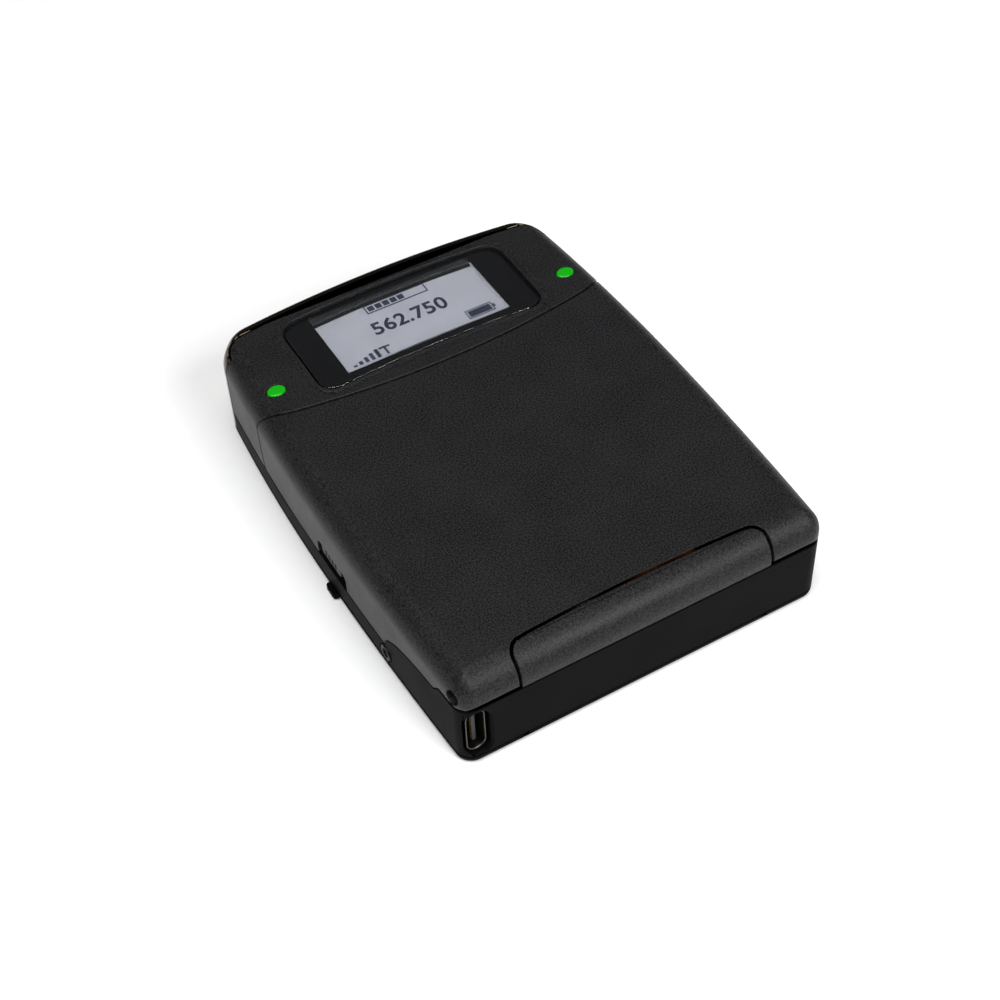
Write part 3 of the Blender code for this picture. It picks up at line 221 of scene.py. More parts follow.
def case_outline(side, top, end):
    """The case from the front, moved in by three insets: for its sides, its arch and its end."""
    low = (HALF_WIDTH - LOW_BOW_R, WIDEST_Y)
    high = (HALF_WIDTH - HIGH_BOW_R, WIDEST_Y)
    crown = (0.0, CREST_Y - ARCH_R)
    corner_r = max(END_CORNER_R - (side + end) / 2, LEAST_CORNER_R)
    corner_y = END_Y + end + corner_r
    corner_x = low[0] + sqrt((LOW_BOW_R - side - corner_r) ** 2 - (corner_y - low[1]) ** 2)
    corner_end = atan2(corner_y - low[1], corner_x - low[0])
    round_r = max(TOP_CORNER_R - (side + top) / 2, LEAST_CORNER_R)
    near_r = HIGH_BOW_R - side - round_r
    far_r = ARCH_R - top - round_r
    gap = hypot(high[0] - crown[0], high[1] - crown[1])
    lean = acos((near_r**2 + gap**2 - far_r**2) / (2 * near_r * gap))
    base = atan2(crown[1] - high[1], crown[0] - high[0])
    turns = (base + lean, base - lean)
    spots = [(high[0] + near_r * cos(turn), high[1] + near_r * sin(turn)) for turn in turns]
    round_at = max(spots, key=lambda spot: min(spot[0], spot[1] - WIDEST_Y))
    high_end = atan2(round_at[1] - high[1], round_at[0] - high[0])
    crown_start = atan2(round_at[1] - crown[1], round_at[0] - crown[0])
    right = arc((corner_x, corner_y), corner_r, -pi / 2, corner_end, 10)
    right += arc(low, LOW_BOW_R - side, corner_end, 0.0, 14)[1:]
    right += arc(high, HIGH_BOW_R - side, 0.0, high_end, 14)[1:]
    right += arc(round_at, round_r, high_end, crown_start, 12)[1:]
    right += arc(crown, ARCH_R - top, crown_start, pi / 2, 16)[1:]
    return right + [(-x, y) for x, y in reversed(right[:-1])]


def at_height(outline, z):
    return [(x, y, z) for x, y in outline]


def loft(rings, ring_shaped=False):
    """A closed form through outlines: each bridged to the next, with the ends filled."""
    form = bmesh.new()
    loops = []
    for ring in rings:
        corners = [form.verts.new(point) for point in ring]
        loops.append([form.edges.new(pair) for pair in zip(corners, corners[1:] + corners[:1])])
    pairs = list(zip(loops, loops[1:]))
    if ring_shaped:
        pairs.append((loops[-1], loops[0]))
    for low, high in pairs:
        bmesh.ops.bridge_loops(form, edges=low + high)
    if not ring_shaped:
        for loop in (loops[0], loops[-1]):
            bmesh.ops.contextual_create(form, geom=loop)
    bmesh.ops.recalc_face_normals(form, faces=form.faces)
    return form


def extruded(points, step):
    """A closed form: a face on the points, drawn out by step."""
    form = bmesh.new()
    face = form.faces.new([form.verts.new(point) for point in points])
    drawn = bmesh.ops.extrude_face_region(form, geom=[face])["geom"]
    corners = [part for part in drawn if isinstance(part, bmesh.types.BMVert)]
    bmesh.ops.translate(form, verts=corners, vec=step)
    bmesh.ops.recalc_face_normals(form, faces=form.faces)
    return form


def slab(outline, z, rise):
    """A level outline at height z, drawn up by rise."""
    return extruded(at_height(outline, z), (0, 0, rise))


def crosswise(outline, x, reach):
    """An outline of (y, z) at x, drawn along x by reach."""
    return extruded([(x, y, z) for y, z in outline], (reach, 0, 0))


def block(low, high):
    """A cube stretched between two opposite corners, in any order."""
    form = bmesh.new()
    near = Vector(map(min, low, high))
    far = Vector(map(max, low, high))
    bmesh.ops.create_cube(form, size=1.0)
    bmesh.ops.scale(form, verts=form.verts, vec=far - near)
    bmesh.ops.translate(form, verts=form.verts, vec=(near + far) / 2)
    return form


def spun(profile, centre, axis, steps=64):
    """A profile of (mm along the axis, mm of radius) spun into a closed form."""
    form = bmesh.new()
    corners = [form.verts.new((radius * MM, 0, along * MM)) for along, radius in profile]
    if profile[0][1] > 0:
        corners.append(corners[0])
    edges = [form.edges.new(pair) for pair in zip(corners, corners[1:])]
    geometry = list(form.verts) + edges
    spin = {"cent": (0, 0, 0), "axis": (0, 0, 1), "angle": 2 * pi, "steps": steps, "use_merge": True}
    bmesh.ops.spin(form, geom=geometry, **spin)
    bmesh.ops.remove_doubles(form, verts=form.verts, dist=0.001 * MM)
    turn = Vector((0, 0, 1)).rotation_difference(Vector(axis)).to_matrix().to_4x4()
    bmesh.ops.transform(form, matrix=Matrix.Translation(centre) @ turn, verts=form.verts)
    bmesh.ops.recalc_face_normals(form, faces=form.faces)
    return form


def rod(start, axis, radius, length, steps=48):
    """A plain round bar, for bores: radius and length in metres."""
    profile = [(0, 0), (0, radius / MM), (length / MM, radius / MM), (length / MM, 0)]
    return spun(profile, start, axis, steps)


def add_piece(name, form):
    """An object at the frame's origin that holds the form."""
    mesh = bpy.data.meshes.new(name)
    form.to_mesh(mesh)
    form.free()
    return add_object(name, mesh)


def shaped_mesh(piece):
    """A new mesh of an object, as its modifiers or its curve's settings leave it."""
    graph = bpy.context.evaluated_depsgraph_get()
    return bpy.data.meshes.new_from_object(piece.evaluated_get(graph))


def combine(piece, forms, operation="DIFFERENCE"):
    """Cuts forms out of a piece, or joins them to it, and keeps the result as its mesh."""
    tools = [form if isinstance(form, bpy.types.Object) else add_piece("tool", form) for form in forms]
    for tool in tools:
        modifier = piece.modifiers.new("shape", "BOOLEAN")
        modifier.operation = operation
        modifier.object = tool
    shaped = shaped_mesh(piece)
    piece.modifiers.clear()
    piece.data = shaped
    for tool in tools:
        bpy.data.objects.remove(tool)


def round_edges(piece, width, segments=3, angle=30, merge=0.02):
    """Merges the specks that cutting leaves, and breaks the sharp edges by a width in mm."""
    form = bmesh.new()
    form.from_mesh(piece.data)
    bmesh.ops.remove_doubles(form, verts=form.verts, dist=merge * MM)
    bmesh.ops.dissolve_degenerate(form, edges=form.edges, dist=0.004 * MM)
    form.to_mesh(piece.data)
    form.free()
    bevel = piece.modifiers.new("edges", "BEVEL")
    bevel.width = width * MM
    bevel.segments = segments
    bevel.limit_method = "ANGLE"
    bevel.angle_limit = radians(angle)
    bevel.use_clamp_overlap = False
    piece.modifiers.new("normals", "WEIGHTED_NORMAL").keep_sharp = True
    piece.data.shade_smooth()


def dress(piece, material, body, slot_name, *nodes):
    """Gives a piece its material, its body and the nodes that it stands for. slot_name is not used."""
    piece.data.materials.clear()
    piece.data.materials.append(material)
    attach(piece, body)
    if nodes:
        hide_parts(*nodes)


def middle(node):
    low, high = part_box(node)
    return (Vector(low) + Vector(high)) / 2


def side_reach(node):
    """How near to the case's middle line a node comes, and how far from it."""
    low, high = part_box(node)
    return sorted((abs(low[0]), abs(high[0])))


def ends_along(node):
    """A node's two ends along the case, in mm."""
    return [corner[1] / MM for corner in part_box(node)]


# Powder coat on a light casting: the shell's coat with a finer grain, dry and with almost no sheen. Its
# colour is painted near black, darker than the shell's coat, as painted shade for the end wall and the
# lower sides.
FRAME_COAT_WITH_PAINTED_SHADE = make_finish(
    "smooth_powder_coat_with_painted_shade", "#0a0a0b", 0.5, grain=0.30, depth=0.008, mottle=0.3, gleam=0.02, speckle=0.8
)

COVER_RIM = ((0.0, 0.9), (0.1, 0.62), (0.25, 0.38), (0.45, 0.2), (0.8, 0.05), (1.2, 0.0))
levels = [(z * MM, inset * MM) for z, inset in COVER_RIM] + [(COVER_TOP, 0.0)]
rings = [at_height(case_outline(inset, inset, inset), z) for z, inset in levels]
back_cover = add_piece("back_cover_casting", loft(rings))
stops = []
for side in (-1, 1):
    inner = side * (half_width(STOP_Y) - 2 * MM)
    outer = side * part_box("back_cover")[1][0]
    low = (inner, STOP_Y - STOP_HALF, 0.25 * MM)
    stop = block(low, (outer, STOP_Y + STOP_HALF, COVER_TOP - 0.05 * MM))
    upright = [e for e in stop.edges if abs(e.verts[0].co.z - e.verts[1].co.z) > 0.5 * MM]
    bevel = {"offset": 0.6 * MM, "segments": 6, "profile": 0.5, "affect": "EDGES", "material": -1}
    bmesh.ops.bevel(stop, geom=upright, **bevel)
    stops.append(stop)
combine(back_cover, stops, "UNION")
screw_spots = [middle(f"back_screw_{i}") for i in (1, 2, 3, 4)]
SINK = ((-1, 0), (-1, 2.3), (0.35, 2.3), (1.35, 1.2), (3, 1.2), (3, 0))
cuts = [spun(SINK, (spot.x, spot.y, 0), (0, 0, 1)) for spot in screw_spots]
for side in (-1, 1):
    x = side * NOTCH_X
    low = (x - 0.5 * MM, END_Y - MM, 0.8 * MM)
    cuts.append(block(low, (x + 0.5 * MM, END_Y + 0.5 * MM, 3 * MM)))
combine(back_cover, cuts)
round_edges(back_cover, 0.12)
dress(back_cover, FRAME_COAT_WITH_PAINTED_SHADE, "case", "frame", "back_cover")

# ---- Back screws ------------------------------------------------------------------------------
# Small countersunk machine screws, nickel-plated steel, with a six-lobe recess in each head.

# Bright nickel on turned steel: smooth, a little uneven in tone.
NICKEL_STEEL = make_finish(
    "nickel_plated_steel", "#a9a7a2", 0.28, 1.0, grain=0.5, depth=0.001, mottle=0.08
)
THREAD_START = 1.4
THREAD_PITCH = 0.4
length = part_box("back_screw_1")[1][2] / MM
profile = [(0.2, 0), (0.2, 1.9), (0.28, 2.0), (0.4, 2.0), (1.2, 0.9)]
for k in range(int((length - THREAD_START) / THREAD_PITCH)):
    start = THREAD_START + k * THREAD_PITCH
    profile += [(start, 0.9), (start + THREAD_PITCH / 2, 0.72)]
profile += [(length, 0.7), (length, 0)]
for i, spot in enumerate(screw_spots):
    screw = add_piece(f"back_screw_{i + 1}_turned", spun(profile, (spot.x, spot.y, 0), (0, 0, 1), 40))
    lobes = []
    for k in range(36):
        a = 2 * pi * k / 36
        reach = (0.92 + 0.16 * cos(6 * a)) * MM
        lobes.append((spot.x + reach * cos(a), spot.y + reach * sin(a), -0.5 * MM))
    combine(screw, [extruded(lobes, (0, 0, 1.5 * MM))])
    round_edges(screw, 0.03, 2)
    dress(screw, NICKEL_STEEL, "case", "steel", f"back_screw_{i + 1}")

# ---- Chassis ----------------------------------------------------------------------------------
# The die-cast tray that everything is fixed in: an open battery bay, a room for the boards at the
# connector end, and a low rim that the door closes on. Painted like the back cover.

SIDES = ((-1, "left"), (1, "right"))
HINGE = Vector((0, *middle("hinge_pin_left")[1:]))
FOOT_Z = COVER_TOP + 0.18 * MM
RIM_Z = 12.3 * MM
PARTING_Z = 5.5 * MM
DECK_Z = 15.8 * MM
SKIRT_START_Y = END_Y + 6.2 * MM
SKIRT_RUN = 15.8 * MM
INNER_SIDE = 2.0 * MM
INNER_CREST = 1.9 * MM
BAY_HALF = 15.0 * MM
BAY_WALL = 1.4 * MM
BAY_START_Y = END_Y + 1.9 * MM
BAY_END_Y = END_Y + 59.5 * MM
DIVIDER_END_Y = END_Y + 61.1 * MM
SIDE_BAY_Y = (END_Y + 9.5 * MM, END_Y + 55.5 * MM)
SIDE_BAY_X = half_width(SIDE_BAY_Y[0], INNER_SIDE) - 1.2 * MM
BLOCK_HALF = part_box("hinge_block")[1][0]
ARM_LOW_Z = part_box("battery_door")[0][2] + 6.85 * MM
ABOVE_CASE = 20 * MM
USB = middle("usb_shell")
USB_LOW, USB_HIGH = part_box("usb_shell")


def skirt_line(gap, steps=18):
    """The parting line in the sides, from the rim at the hinge end down to the parting height."""
    points = [(SKIRT_START_Y, RIM_Z + gap)]
    for i in range(1, steps + 1):
        a = i * pi / 2 / steps
        drop = 0.8 * (RIM_Z - PARTING_Z) * cos(a)
        points.append((SKIRT_START_Y + SKIRT_RUN * sin(a), PARTING_Z + drop + gap))
    return points


def board_room(low, high, start_y):
    """The room behind the walls of the connector end."""
    outline = case_outline(2.8 * MM, INNER_CREST + 1.6 * MM, 0)
    room = add_piece("tool", slab(outline, low, high - low))
    combine(room, [block((-BEYOND, -BEYOND, low - MM), (BEYOND, start_y, high + MM))])
    return room


def cap_rebate():
    """The step that the cap fits over."""
    cap_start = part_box("top_cap")[0][1]
    low = (-BEYOND, cap_start - GAP, -MM)
    rebate = add_piece("tool", block(low, (BEYOND, BEYOND, ABOVE_CASE)))
    combine(rebate, [slab(case_outline(1.5 * MM, INNER_CREST, 0), -2 * MM, 24 * MM)])
    return rebate


def end_bores(radii, start_y):
    """Bores along the case on the axes of some nodes, with radii in mm."""
    spots = [(middle(node), radius) for node, radius in radii.items()]
    return [rod((at.x, start_y, at.z), (0, 1, 0), radius * MM, 20 * MM) for at, radius in spots]


def connector_bores():
    """Bores for the connector bodies and the power button, behind the cap."""
    radii = {"antenna_jack": 4.5, "input_socket_1": 4.5, "input_socket_2": 4.5, "power_button": 3.0}
    return end_bores(radii, CREST_Y - 11.5 * MM)


def swing_scoop(side):
    """The round hollow in the end wall that the door's arm turns in."""
    start = BLOCK_HALF - 0.2 * MM
    corner = half_width(END_Y + END_CORNER_R) - END_CORNER_R
    stop = corner + END_CORNER_R - 0.5 * MM
    profile = [(start / MM, 0.0)]
    for i in range(17):
        x = start + (stop - start) * sin(i * pi / 2 / 16)
        arm_end = END_Y
        if x > corner:
            arm_end += END_CORNER_R - sqrt(max(END_CORNER_R**2 - (x - corner) ** 2, 0.0))
        reach = hypot(HINGE.y - arm_end, HINGE.z - ARM_LOW_Z - 0.5 * MM)
        profile.append((x / MM, reach / MM + 0.2))
    profile.append((stop / MM, 0.0))
    return spun(profile, HINGE, (side, 0, 0), 96)


chassis = add_piece("chassis_casting", slab(case_outline(0, 0, 0), FOOT_Z, RIM_Z - FOOT_Z))
profile = [(SKIRT_START_Y, ABOVE_CASE), *skirt_line(0.0), (BEYOND, PARTING_Z), (BEYOND, ABOVE_CASE)]
combine(chassis, [crosswise(profile, -BEYOND, 2 * BEYOND)])
DECK_EDGE = ((3.0, 0.0), (14.4, 0.0), (14.9, 0.1), (15.3, 0.45), (15.6, 0.95), (15.8, 1.6))
start_inset = 7.8 * MM
rings = []
for z, inset in DECK_EDGE:
    rings.append(at_height(case_outline(INNER_SIDE + inset * MM, INNER_CREST, start_inset), z * MM))
deck = add_piece("tool", loft(rings))
combine(deck, [block((-BEYOND, DIVIDER_END_Y, 0), (BEYOND, BEYOND, ABOVE_CASE))])
combine(chassis, [deck], "UNION")
cuts = [block((-BAY_HALF, BAY_START_Y, -MM), (BAY_HALF, BAY_END_Y, ABOVE_CASE))]
for side in (-1, 1):
    inner = side * (BAY_HALF + BAY_WALL)
    cuts.append(block((inner, SIDE_BAY_Y[0], -MM), (side * SIDE_BAY_X, SIDE_BAY_Y[1], DECK_Z - MM)))
cuts += [board_room(-MM, ABOVE_CASE, DIVIDER_END_Y - 0.5 * MM), cap_rebate(), *connector_bores()]
for side, word in SIDES:
    latch = middle(f"latch_{word}")
    bush = middle(f"clip_bush_{word}")
    low = (side * (SIDE_BAY_X - MM), latch.y - 3.55 * MM, latch.z - 1.1 * MM)
    high = (side * (HALF_WIDTH + MM), latch.y + 2.35 * MM, latch.z + 1.1 * MM)
    cuts += [swing_scoop(side), block(low, high)]
    cuts.append(rod((side * (SIDE_BAY_X - MM), bush.y, bush.z), (side, 0, 0), 1.55 * MM, 8 * MM))


def usb_outline(grow, y, steps=12):
    """The socket's upright round-ended outline, grown by a distance in mm."""
    half_x = (USB_HIGH[0] - USB_LOW[0]) / 2 + grow * MM
    straight = (USB_HIGH[2] - USB_LOW[2]) / 2 - (USB_HIGH[0] - USB_LOW[0]) / 2
    ends = arc((USB.x, USB.z + straight), half_x, 0, pi, steps)
    ends += arc((USB.x, USB.z - straight), half_x, pi, 2 * pi, steps)
    return [(x, y, z) for x, z in ends]


USB_MOUTH = ((0.75, -0.5), (0.75, 0.0), (0.35, 0.35), (0.35, 8.0))
cuts.append(loft([usb_outline(grow, END_Y + deep * MM) for grow, deep in USB_MOUTH]))
for spot in screw_spots:
    cuts.append(rod((spot.x, spot.y, 0), (0, 0, 1), 1.2 * MM, 5.2 * MM, 24))
combine(chassis, cuts)
round_edges(chassis, 0.18)
# The chassis takes the frame coat, whose darker colour is painted shade on the end wall and the lower
# sides.
dress(chassis, FRAME_COAT_WITH_PAINTED_SHADE, "case", "frame", "chassis")

# ---- Charging socket --------------------------------------------------------------------------
# A standard reversible USB socket, set upright: a drawn steel shell, open at the front, and a
# moulded tongue with a row of gold-plated contacts on each face.

# Drawn stainless steel: long fine lines along the draw.
DRAWN_STEEL = make_finish(
    "drawn_stainless_steel", "#55534f", 0.32, 1.0, grain=0.12, depth=0.0008, drag=(1, 0.08, 1)
)
# Glass-filled nylon: dull, very fine.
BLACK_NYLON = make_finish("black_nylon", "#0f0f10", 0.5, grain=0.15, depth=0.002, mottle=0.1)
# Hard gold over nickel: warm and smooth.
GOLD_PLATE = make_finish("gold_plate", "#d9ac52", 0.22, 1.0, grain=0.25, depth=0.0006, mottle=0.06)

front, back = USB_LOW[1], USB_HIGH[1]
profile = [(-0.3, back - 0.4 * MM), (-0.3, front + 0.25 * MM), (-0.22, front + 0.06 * MM)]
profile += [(-0.12, front), (-0.04, front + 0.04 * MM), (0.0, front + 0.15 * MM), (0.0, back)]
shell = add_piece("usb_shell_drawn", loft([usb_outline(grow, y, 16) for grow, y in profile]))
round_edges(shell, 0.03, 2)
dress(shell, DRAWN_STEEL, "case", "steel", "usb_shell")

base_top = back - 0.7 * MM
rings = [usb_outline(-0.55, y) for y in (base_top - 1.4 * MM, base_top)]
tongue = add_piece("usb_tongue_moulded", loft(rings))
blade_low = Vector((USB.x - 0.35 * MM, front + 0.8 * MM, USB.z - 3.3 * MM))
blade = block(blade_low, (USB.x + 0.35 * MM, base_top - MM, USB.z + 3.3 * MM))
combine(tongue, [blade], "UNION")
round_edges(tongue, 0.12)
dress(tongue, BLACK_NYLON, "case", "insulator", "usb_tongue")
CONTACT_COUNT = 12
CONTACT_PITCH = 0.5 * MM
form = bmesh.new()
for face in (-1, 1):
    for k in range(CONTACT_COUNT):
        z = USB.z + (k - (CONTACT_COUNT - 1) / 2) * CONTACT_PITCH
        low = Vector((USB.x + face * 0.33 * MM, blade_low.y + 0.3 * MM, z - 0.13 * MM))
        high = Vector((USB.x + face * 0.38 * MM, blade_low.y + 2.6 * MM, z + 0.13 * MM))
        made = bmesh.ops.create_cube(form, size=1.0)["verts"]
        size = [abs(a) for a in high - low]
        bmesh.ops.scale(form, verts=made, vec=size)
        bmesh.ops.translate(form, verts=made, vec=(low + high) / 2)
contacts = add_piece("usb_contacts", form)
round_edges(contacts, 0.015, 1)
dress(contacts, GOLD_PLATE, "case", "gold")

# ---- Clip bushes ------------------------------------------------------------------------------
# A turned steel bush in each side, with a blind hole for the bent end of a wire belt clip.

# Black oxide on turned steel: fine turning lines under a dull sheen.
BLACK_OXIDE = make_finish(
    "black_oxide_steel", "#232325", 0.38, 1.0, grain=0.12, depth=0.001, mottle=0.12
)
for side, word in SIDES:
    start, end = [reach / MM for reach in side_reach(f"clip_bush_{word}")]
    spot = middle(f"clip_bush_{word}")
    profile = [(start, 0), (start, 1.4), (end - 0.25, 1.4), (end - 0.06, 1.34), (end, 1.22), (end, 0.95)]
    profile += [(end - 0.2, 0.75), (end - 2.0, 0.75), (end - 2.3, 0)]
    bush = add_piece(f"clip_bush_{word}_turned", spun(profile, (0, spot.y, spot.z), (side, 0, 0)))
    round_edges(bush, 0.03, 2)
    dress(bush, BLACK_OXIDE, "case", "steel", f"clip_bush_{word}")

# ---- Side latches -----------------------------------------------------------------------------
# A moulded slide in each side that lets go of the door: a finger plate with four grip ribs, and
# a stem through the chassis wall to a foot.


def rounded_box(half_y, half_z, radius, centre, steps=8):
    """Points of a rectangle with rounded corners."""
    points = []
    for quarter, (sy, sz) in enumerate(((1, 1), (-1, 1), (-1, -1), (1, -1))):
        spot = (centre[0] + sy * (half_y - radius), centre[1] + sz * (half_z - radius))
        points += arc(spot, radius, quarter * pi / 2, (quarter + 1) * pi / 2, steps)
    return points


def stacked(stack, side):
    """A closed form on one side of the case, through pairs of an outline of (y, z) and its distance."""
    return loft([[(side * x, y, z) for y, z in ring] for ring, x in stack])


GRIP_RIBS = 4
RIB_PITCH = 1.1 * MM
for side, word in SIDES:
    spot = middle(f"latch_{word}")
    foot_in, outer = side_reach(f"latch_{word}")
    wall = foot_in + MM
    plate_in = half_width(spot.y, INNER_SIDE) + GAP
    plate = rounded_box(3.35 * MM, 1.3 * MM, 0.6 * MM, spot[1:])
    edge = rounded_box(3.2 * MM, 1.15 * MM, 0.45 * MM, spot[1:])
    stem = rounded_box(2.05 * MM, 0.8 * MM, 0.3 * MM, spot[1:])
    foot = rounded_box(2.55 * MM, 1.3 * MM, 0.3 * MM, spot[1:])
    stack = [(foot, foot_in), (foot, wall), (stem, wall), (stem, plate_in), (plate, plate_in)]
    stack += [(plate, outer - 0.45 * MM), (edge, outer - 0.3 * MM)]
    latch = add_piece(f"latch_{word}_moulded", stacked(stack, side))
    ribs = []
    for k in range(GRIP_RIBS):
        y = spot.y + (k - (GRIP_RIBS - 1) / 2) * RIB_PITCH
        rib = rounded_box(0.22 * MM, 0.85 * MM, 0.2 * MM, (y, spot.z), 4)
        ribs.append(crosswise(rib, side * (outer - 0.6 * MM), side * 0.6 * MM))
    combine(latch, ribs, "UNION")
    round_edges(latch, 0.07, 2)
    dress(latch, BLACK_NYLON, f"{word}_latch", "key", f"latch_{word}")

# ---- Cells ------------------------------------------------------------------------------------
# Two size AA cells, laid side by side and end for end: a steel can with a raised nub, in a
# shrunk sleeve that folds over both ends. The sleeve is plain, with one coloured band.

# Nickel-plated deep-drawn steel: faint drawing lines round the end.
CELL_STEEL = make_finish("nickel_plated_can", "#b9b6ae", 0.3, 1.0, grain=0.2, depth=0.0008, mottle=0.06)
# Printed polymer film, heat-shrunk: glossy, with a slight orange peel.
CELL_FILM = make_finish("black_shrink_film", "#1b1d22", 0.24, grain=1.2, depth=0.004, mottle=0.08)
BAND_FILM = make_finish("copper_band_film", "#a8623a", 0.3, 0.6, grain=1.2, depth=0.004, mottle=0.08)
for word, way in (("left", 1), ("right", -1)):
    low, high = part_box(f"cell_{word}")
    spot = middle(f"cell_{word}")
    start = (spot.x, low[1] if way == 1 else high[1], spot.z)
    can = [(0.05, 0), (0.05, 4.4), (0.2, 4.8), (0.2, 6.2), (0.5, 6.9), (48.8, 6.9), (49.1, 6.2)]
    can += [(49.1, 3.4), (49.3, 2.9), (49.3, 2.75), (50.2, 2.7), (50.5, 2.4), (50.5, 0)]
    cell = add_piece(f"cell_{word}_can", spun(can, start, (0, way, 0), 96))
    round_edges(cell, 0.05, 2)
    dress(cell, CELL_STEEL, "case", "tin", f"cell_{word}")
    a, b, c = 0.1, 37.0, 49.25
    sleeve = [(a, 5.9), (a + 0.02, 6.6), (a + 0.35, 7.0), (a + 0.8, 7.1), (b, 7.1), (b, 6.95)]
    sleeve += [(a + 0.7, 6.95), (a + 0.25, 6.7), (a + 0.12, 5.9)]
    band = [(b, 7.1), (c - 0.8, 7.1), (c - 0.35, 7.0), (c - 0.03, 6.6), (c, 5.9), (c - 0.1, 5.9)]
    band += [(c - 0.2, 6.6), (c - 0.5, 6.95), (b, 6.95)]
    for name, finish, film in (("sleeve", CELL_FILM, sleeve), ("band", BAND_FILM, band)):
        wrap = add_piece(f"cell_{word}_{name}", spun(film, start, (0, way, 0), 96))
        round_edges(wrap, 0.02, 1)
        dress(wrap, finish, "case", "cell_jacket")

# ---- Battery contacts -------------------------------------------------------------------------
# A conical coil spring at each flat end and a folded leaf at each nub, both nickel-plated.


def curve_mesh(curve):
    """The mesh of a curve or text."""
    guide = add_object("guide", curve)
    mesh = shaped_mesh(guide)
    bpy.data.objects.remove(guide)
    return mesh


SPRING_TURNS = 4
WIRE_R = 0.28 * MM
for word, cell_end in (("left", 1), ("right", 0)):
    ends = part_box(f"contact_spring_{word}")
    cell_y, wall_y = ends[cell_end][1], ends[1 - cell_end][1]
    spot = middle(f"contact_spring_{word}")
    wire = bpy.data.curves.new("wire", "CURVE")
    wire.dimensions = "3D"
    wire.bevel_depth = WIRE_R
    wire.bevel_resolution = 4
    wire.use_fill_caps = True
    turns = 40 * SPRING_TURNS
    line = wire.splines.new("POLY")
    line.points.add(turns)
    inward = 0.3 * MM if cell_y < wall_y else -0.3 * MM
    for i in range(turns + 1):
        share = i / turns
        a = 2 * pi * SPRING_TURNS * share
        reach = (1.6 + 1.5 * share) * MM
        y = cell_y + inward + (wall_y - cell_y - 2 * inward) * share
        line.points[i].co = (spot.x + reach * cos(a), y, spot.z + reach * sin(a), 1.0)
    mesh = curve_mesh(wire)
    mesh.shade_smooth()
    spring = add_object(f"contact_spring_{word}_wound", mesh)
    dress(spring, NICKEL_STEEL, "case", "steel", f"contact_spring_{word}")

# ---- Boards, shields and switches -------------------------------------------------------------
# Glass-epoxy boards, drawn tinplate cans soldered over the radio and audio circuits, and small
# dome switches behind the buttons. They are shut in by the shells.

# Green solder mask: even and slightly glossy over the weave of the glass cloth.
SOLDER_MASK = make_finish("green_solder_mask", "#14482b", 0.35, grain=0.5, depth=0.006, mottle=0.18)
# Tinplate: grey, with the slow spangle of the tin.
TINPLATE = make_finish("tinplate", "#b4b4b2", 0.32, 1.0, grain=0.6, depth=0.001, mottle=0.1)
# Neoprene foam: dull, with open pores.
NEOPRENE = make_finish("neoprene_foam", "#161616", 0.85, grain=0.18, depth=0.02, mottle=0.2)


def refinish(finish, *nodes):
    """Gives nodes that keep their own shape a finish."""
    for node in nodes:
        for place in NODES[node].material_slots:
            place.material = finish


refinish(SOLDER_MASK, "main_board", "side_board_left", "side_board_right")
refinish(TINPLATE, "rf_shield", "audio_shield", "key_switch_up", "key_switch_down", "power_switch")
refinish(NICKEL_STEEL, "contact_plate_left", "contact_plate_right")
refinish(BLACK_NYLON, "display_frame")
refinish(NEOPRENE, "window_gasket")

# ---- Front bezel ------------------------------------------------------------------------------
# The cast shell round the display. Its front has the window's ledge, with a soft lip and a
# shallow groove round it, two holes for the light pipes, and two for the keys in the right side.

# Powder coat sprayed coarser: dark grey, with a strong speckle of about a quarter of a millimetre.
SHELL_COAT = make_finish(
    "textured_powder_coat", "#1d1d1e", 0.42, grain=0.25, depth=0.04, mottle=0.9, gleam=0.16, speckle=0.92
)
SIDE_ROUND = 4.0 * MM
END_ROUND = 4.5 * MM
ARCH_ROUND = 0.9 * MM
SHELL_Z = PARTING_Z + 0.2 * MM
SEAM_GAP = 0.45 * MM
SEAM_BOW = 0.3
SEAM_TURN = 5.4 * MM
SEAM_HOOK = 2.7 * MM
SEAM_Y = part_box("front_bezel")[0][1] - SEAM_GAP / 2
LENS_LOW, LENS_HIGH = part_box("window_lens")
WINDOW_HALF = LENS_HIGH[0]
WINDOW_HALF_Y = 8.8 * MM
WINDOW_CORNER_R = 2.8 * MM
WINDOW_Y = LENS_HIGH[1] - WINDOW_HALF_Y
PLATE_Z = CASE_DEPTH - 2.1 * MM
POCKET_Z = LENS_LOW[2] - GAP


def rounding(radius, z):
    """How far a rounded edge has come in at height z."""
    rise = z - (CASE_DEPTH - radius)
    return 0.0 if rise <= 0 else radius - sqrt(max(radius**2 - rise**2, 0.0))


def case_block(low, steps=14):
    """The full case from height low to the front face, with its rounded front edges."""
    start = CASE_DEPTH - END_ROUND
    rings = []
    for z in [low] + [start + END_ROUND * sin(i * pi / 2 / steps) for i in range(steps + 1)]:
        insets = (rounding(SIDE_ROUND, z), rounding(ARCH_ROUND, z), rounding(END_ROUND, z))
        rings.append(at_height(case_outline(*insets), z))
    return loft(rings)


def beyond_seam(offset, far_y, steps=60):
    """Everything on one side of the seam. Below the hinge the seam leans with the door's swing."""
    rings = []
    for z in (4.5 * MM, 6.0 * MM, 8.0 * MM, 10.0 * MM, 12.0 * MM, HINGE.z, CASE_DEPTH + MM):
        line = []
        for i in range(steps + 1):
            x = HALF_WIDTH * 1.1 * (2 * i / steps - 1)
            side_x = min(abs(x), HALF_WIDTH)
            turn = max(side_x - HALF_WIDTH + SEAM_TURN, 0.0) / SEAM_TURN
            reach = SEAM_Y + side_x**2 / SEAM_BOW + SEAM_HOOK * turn**2 - HINGE.y + offset
            line.append((x, HINGE.y + sqrt(reach**2 - min(z - HINGE.z, 0.0) ** 2), z))
        edge = line[-1][0]
        rings.append([*line, (edge, far_y, z), (-edge, far_y, z)])
    return loft(rings)


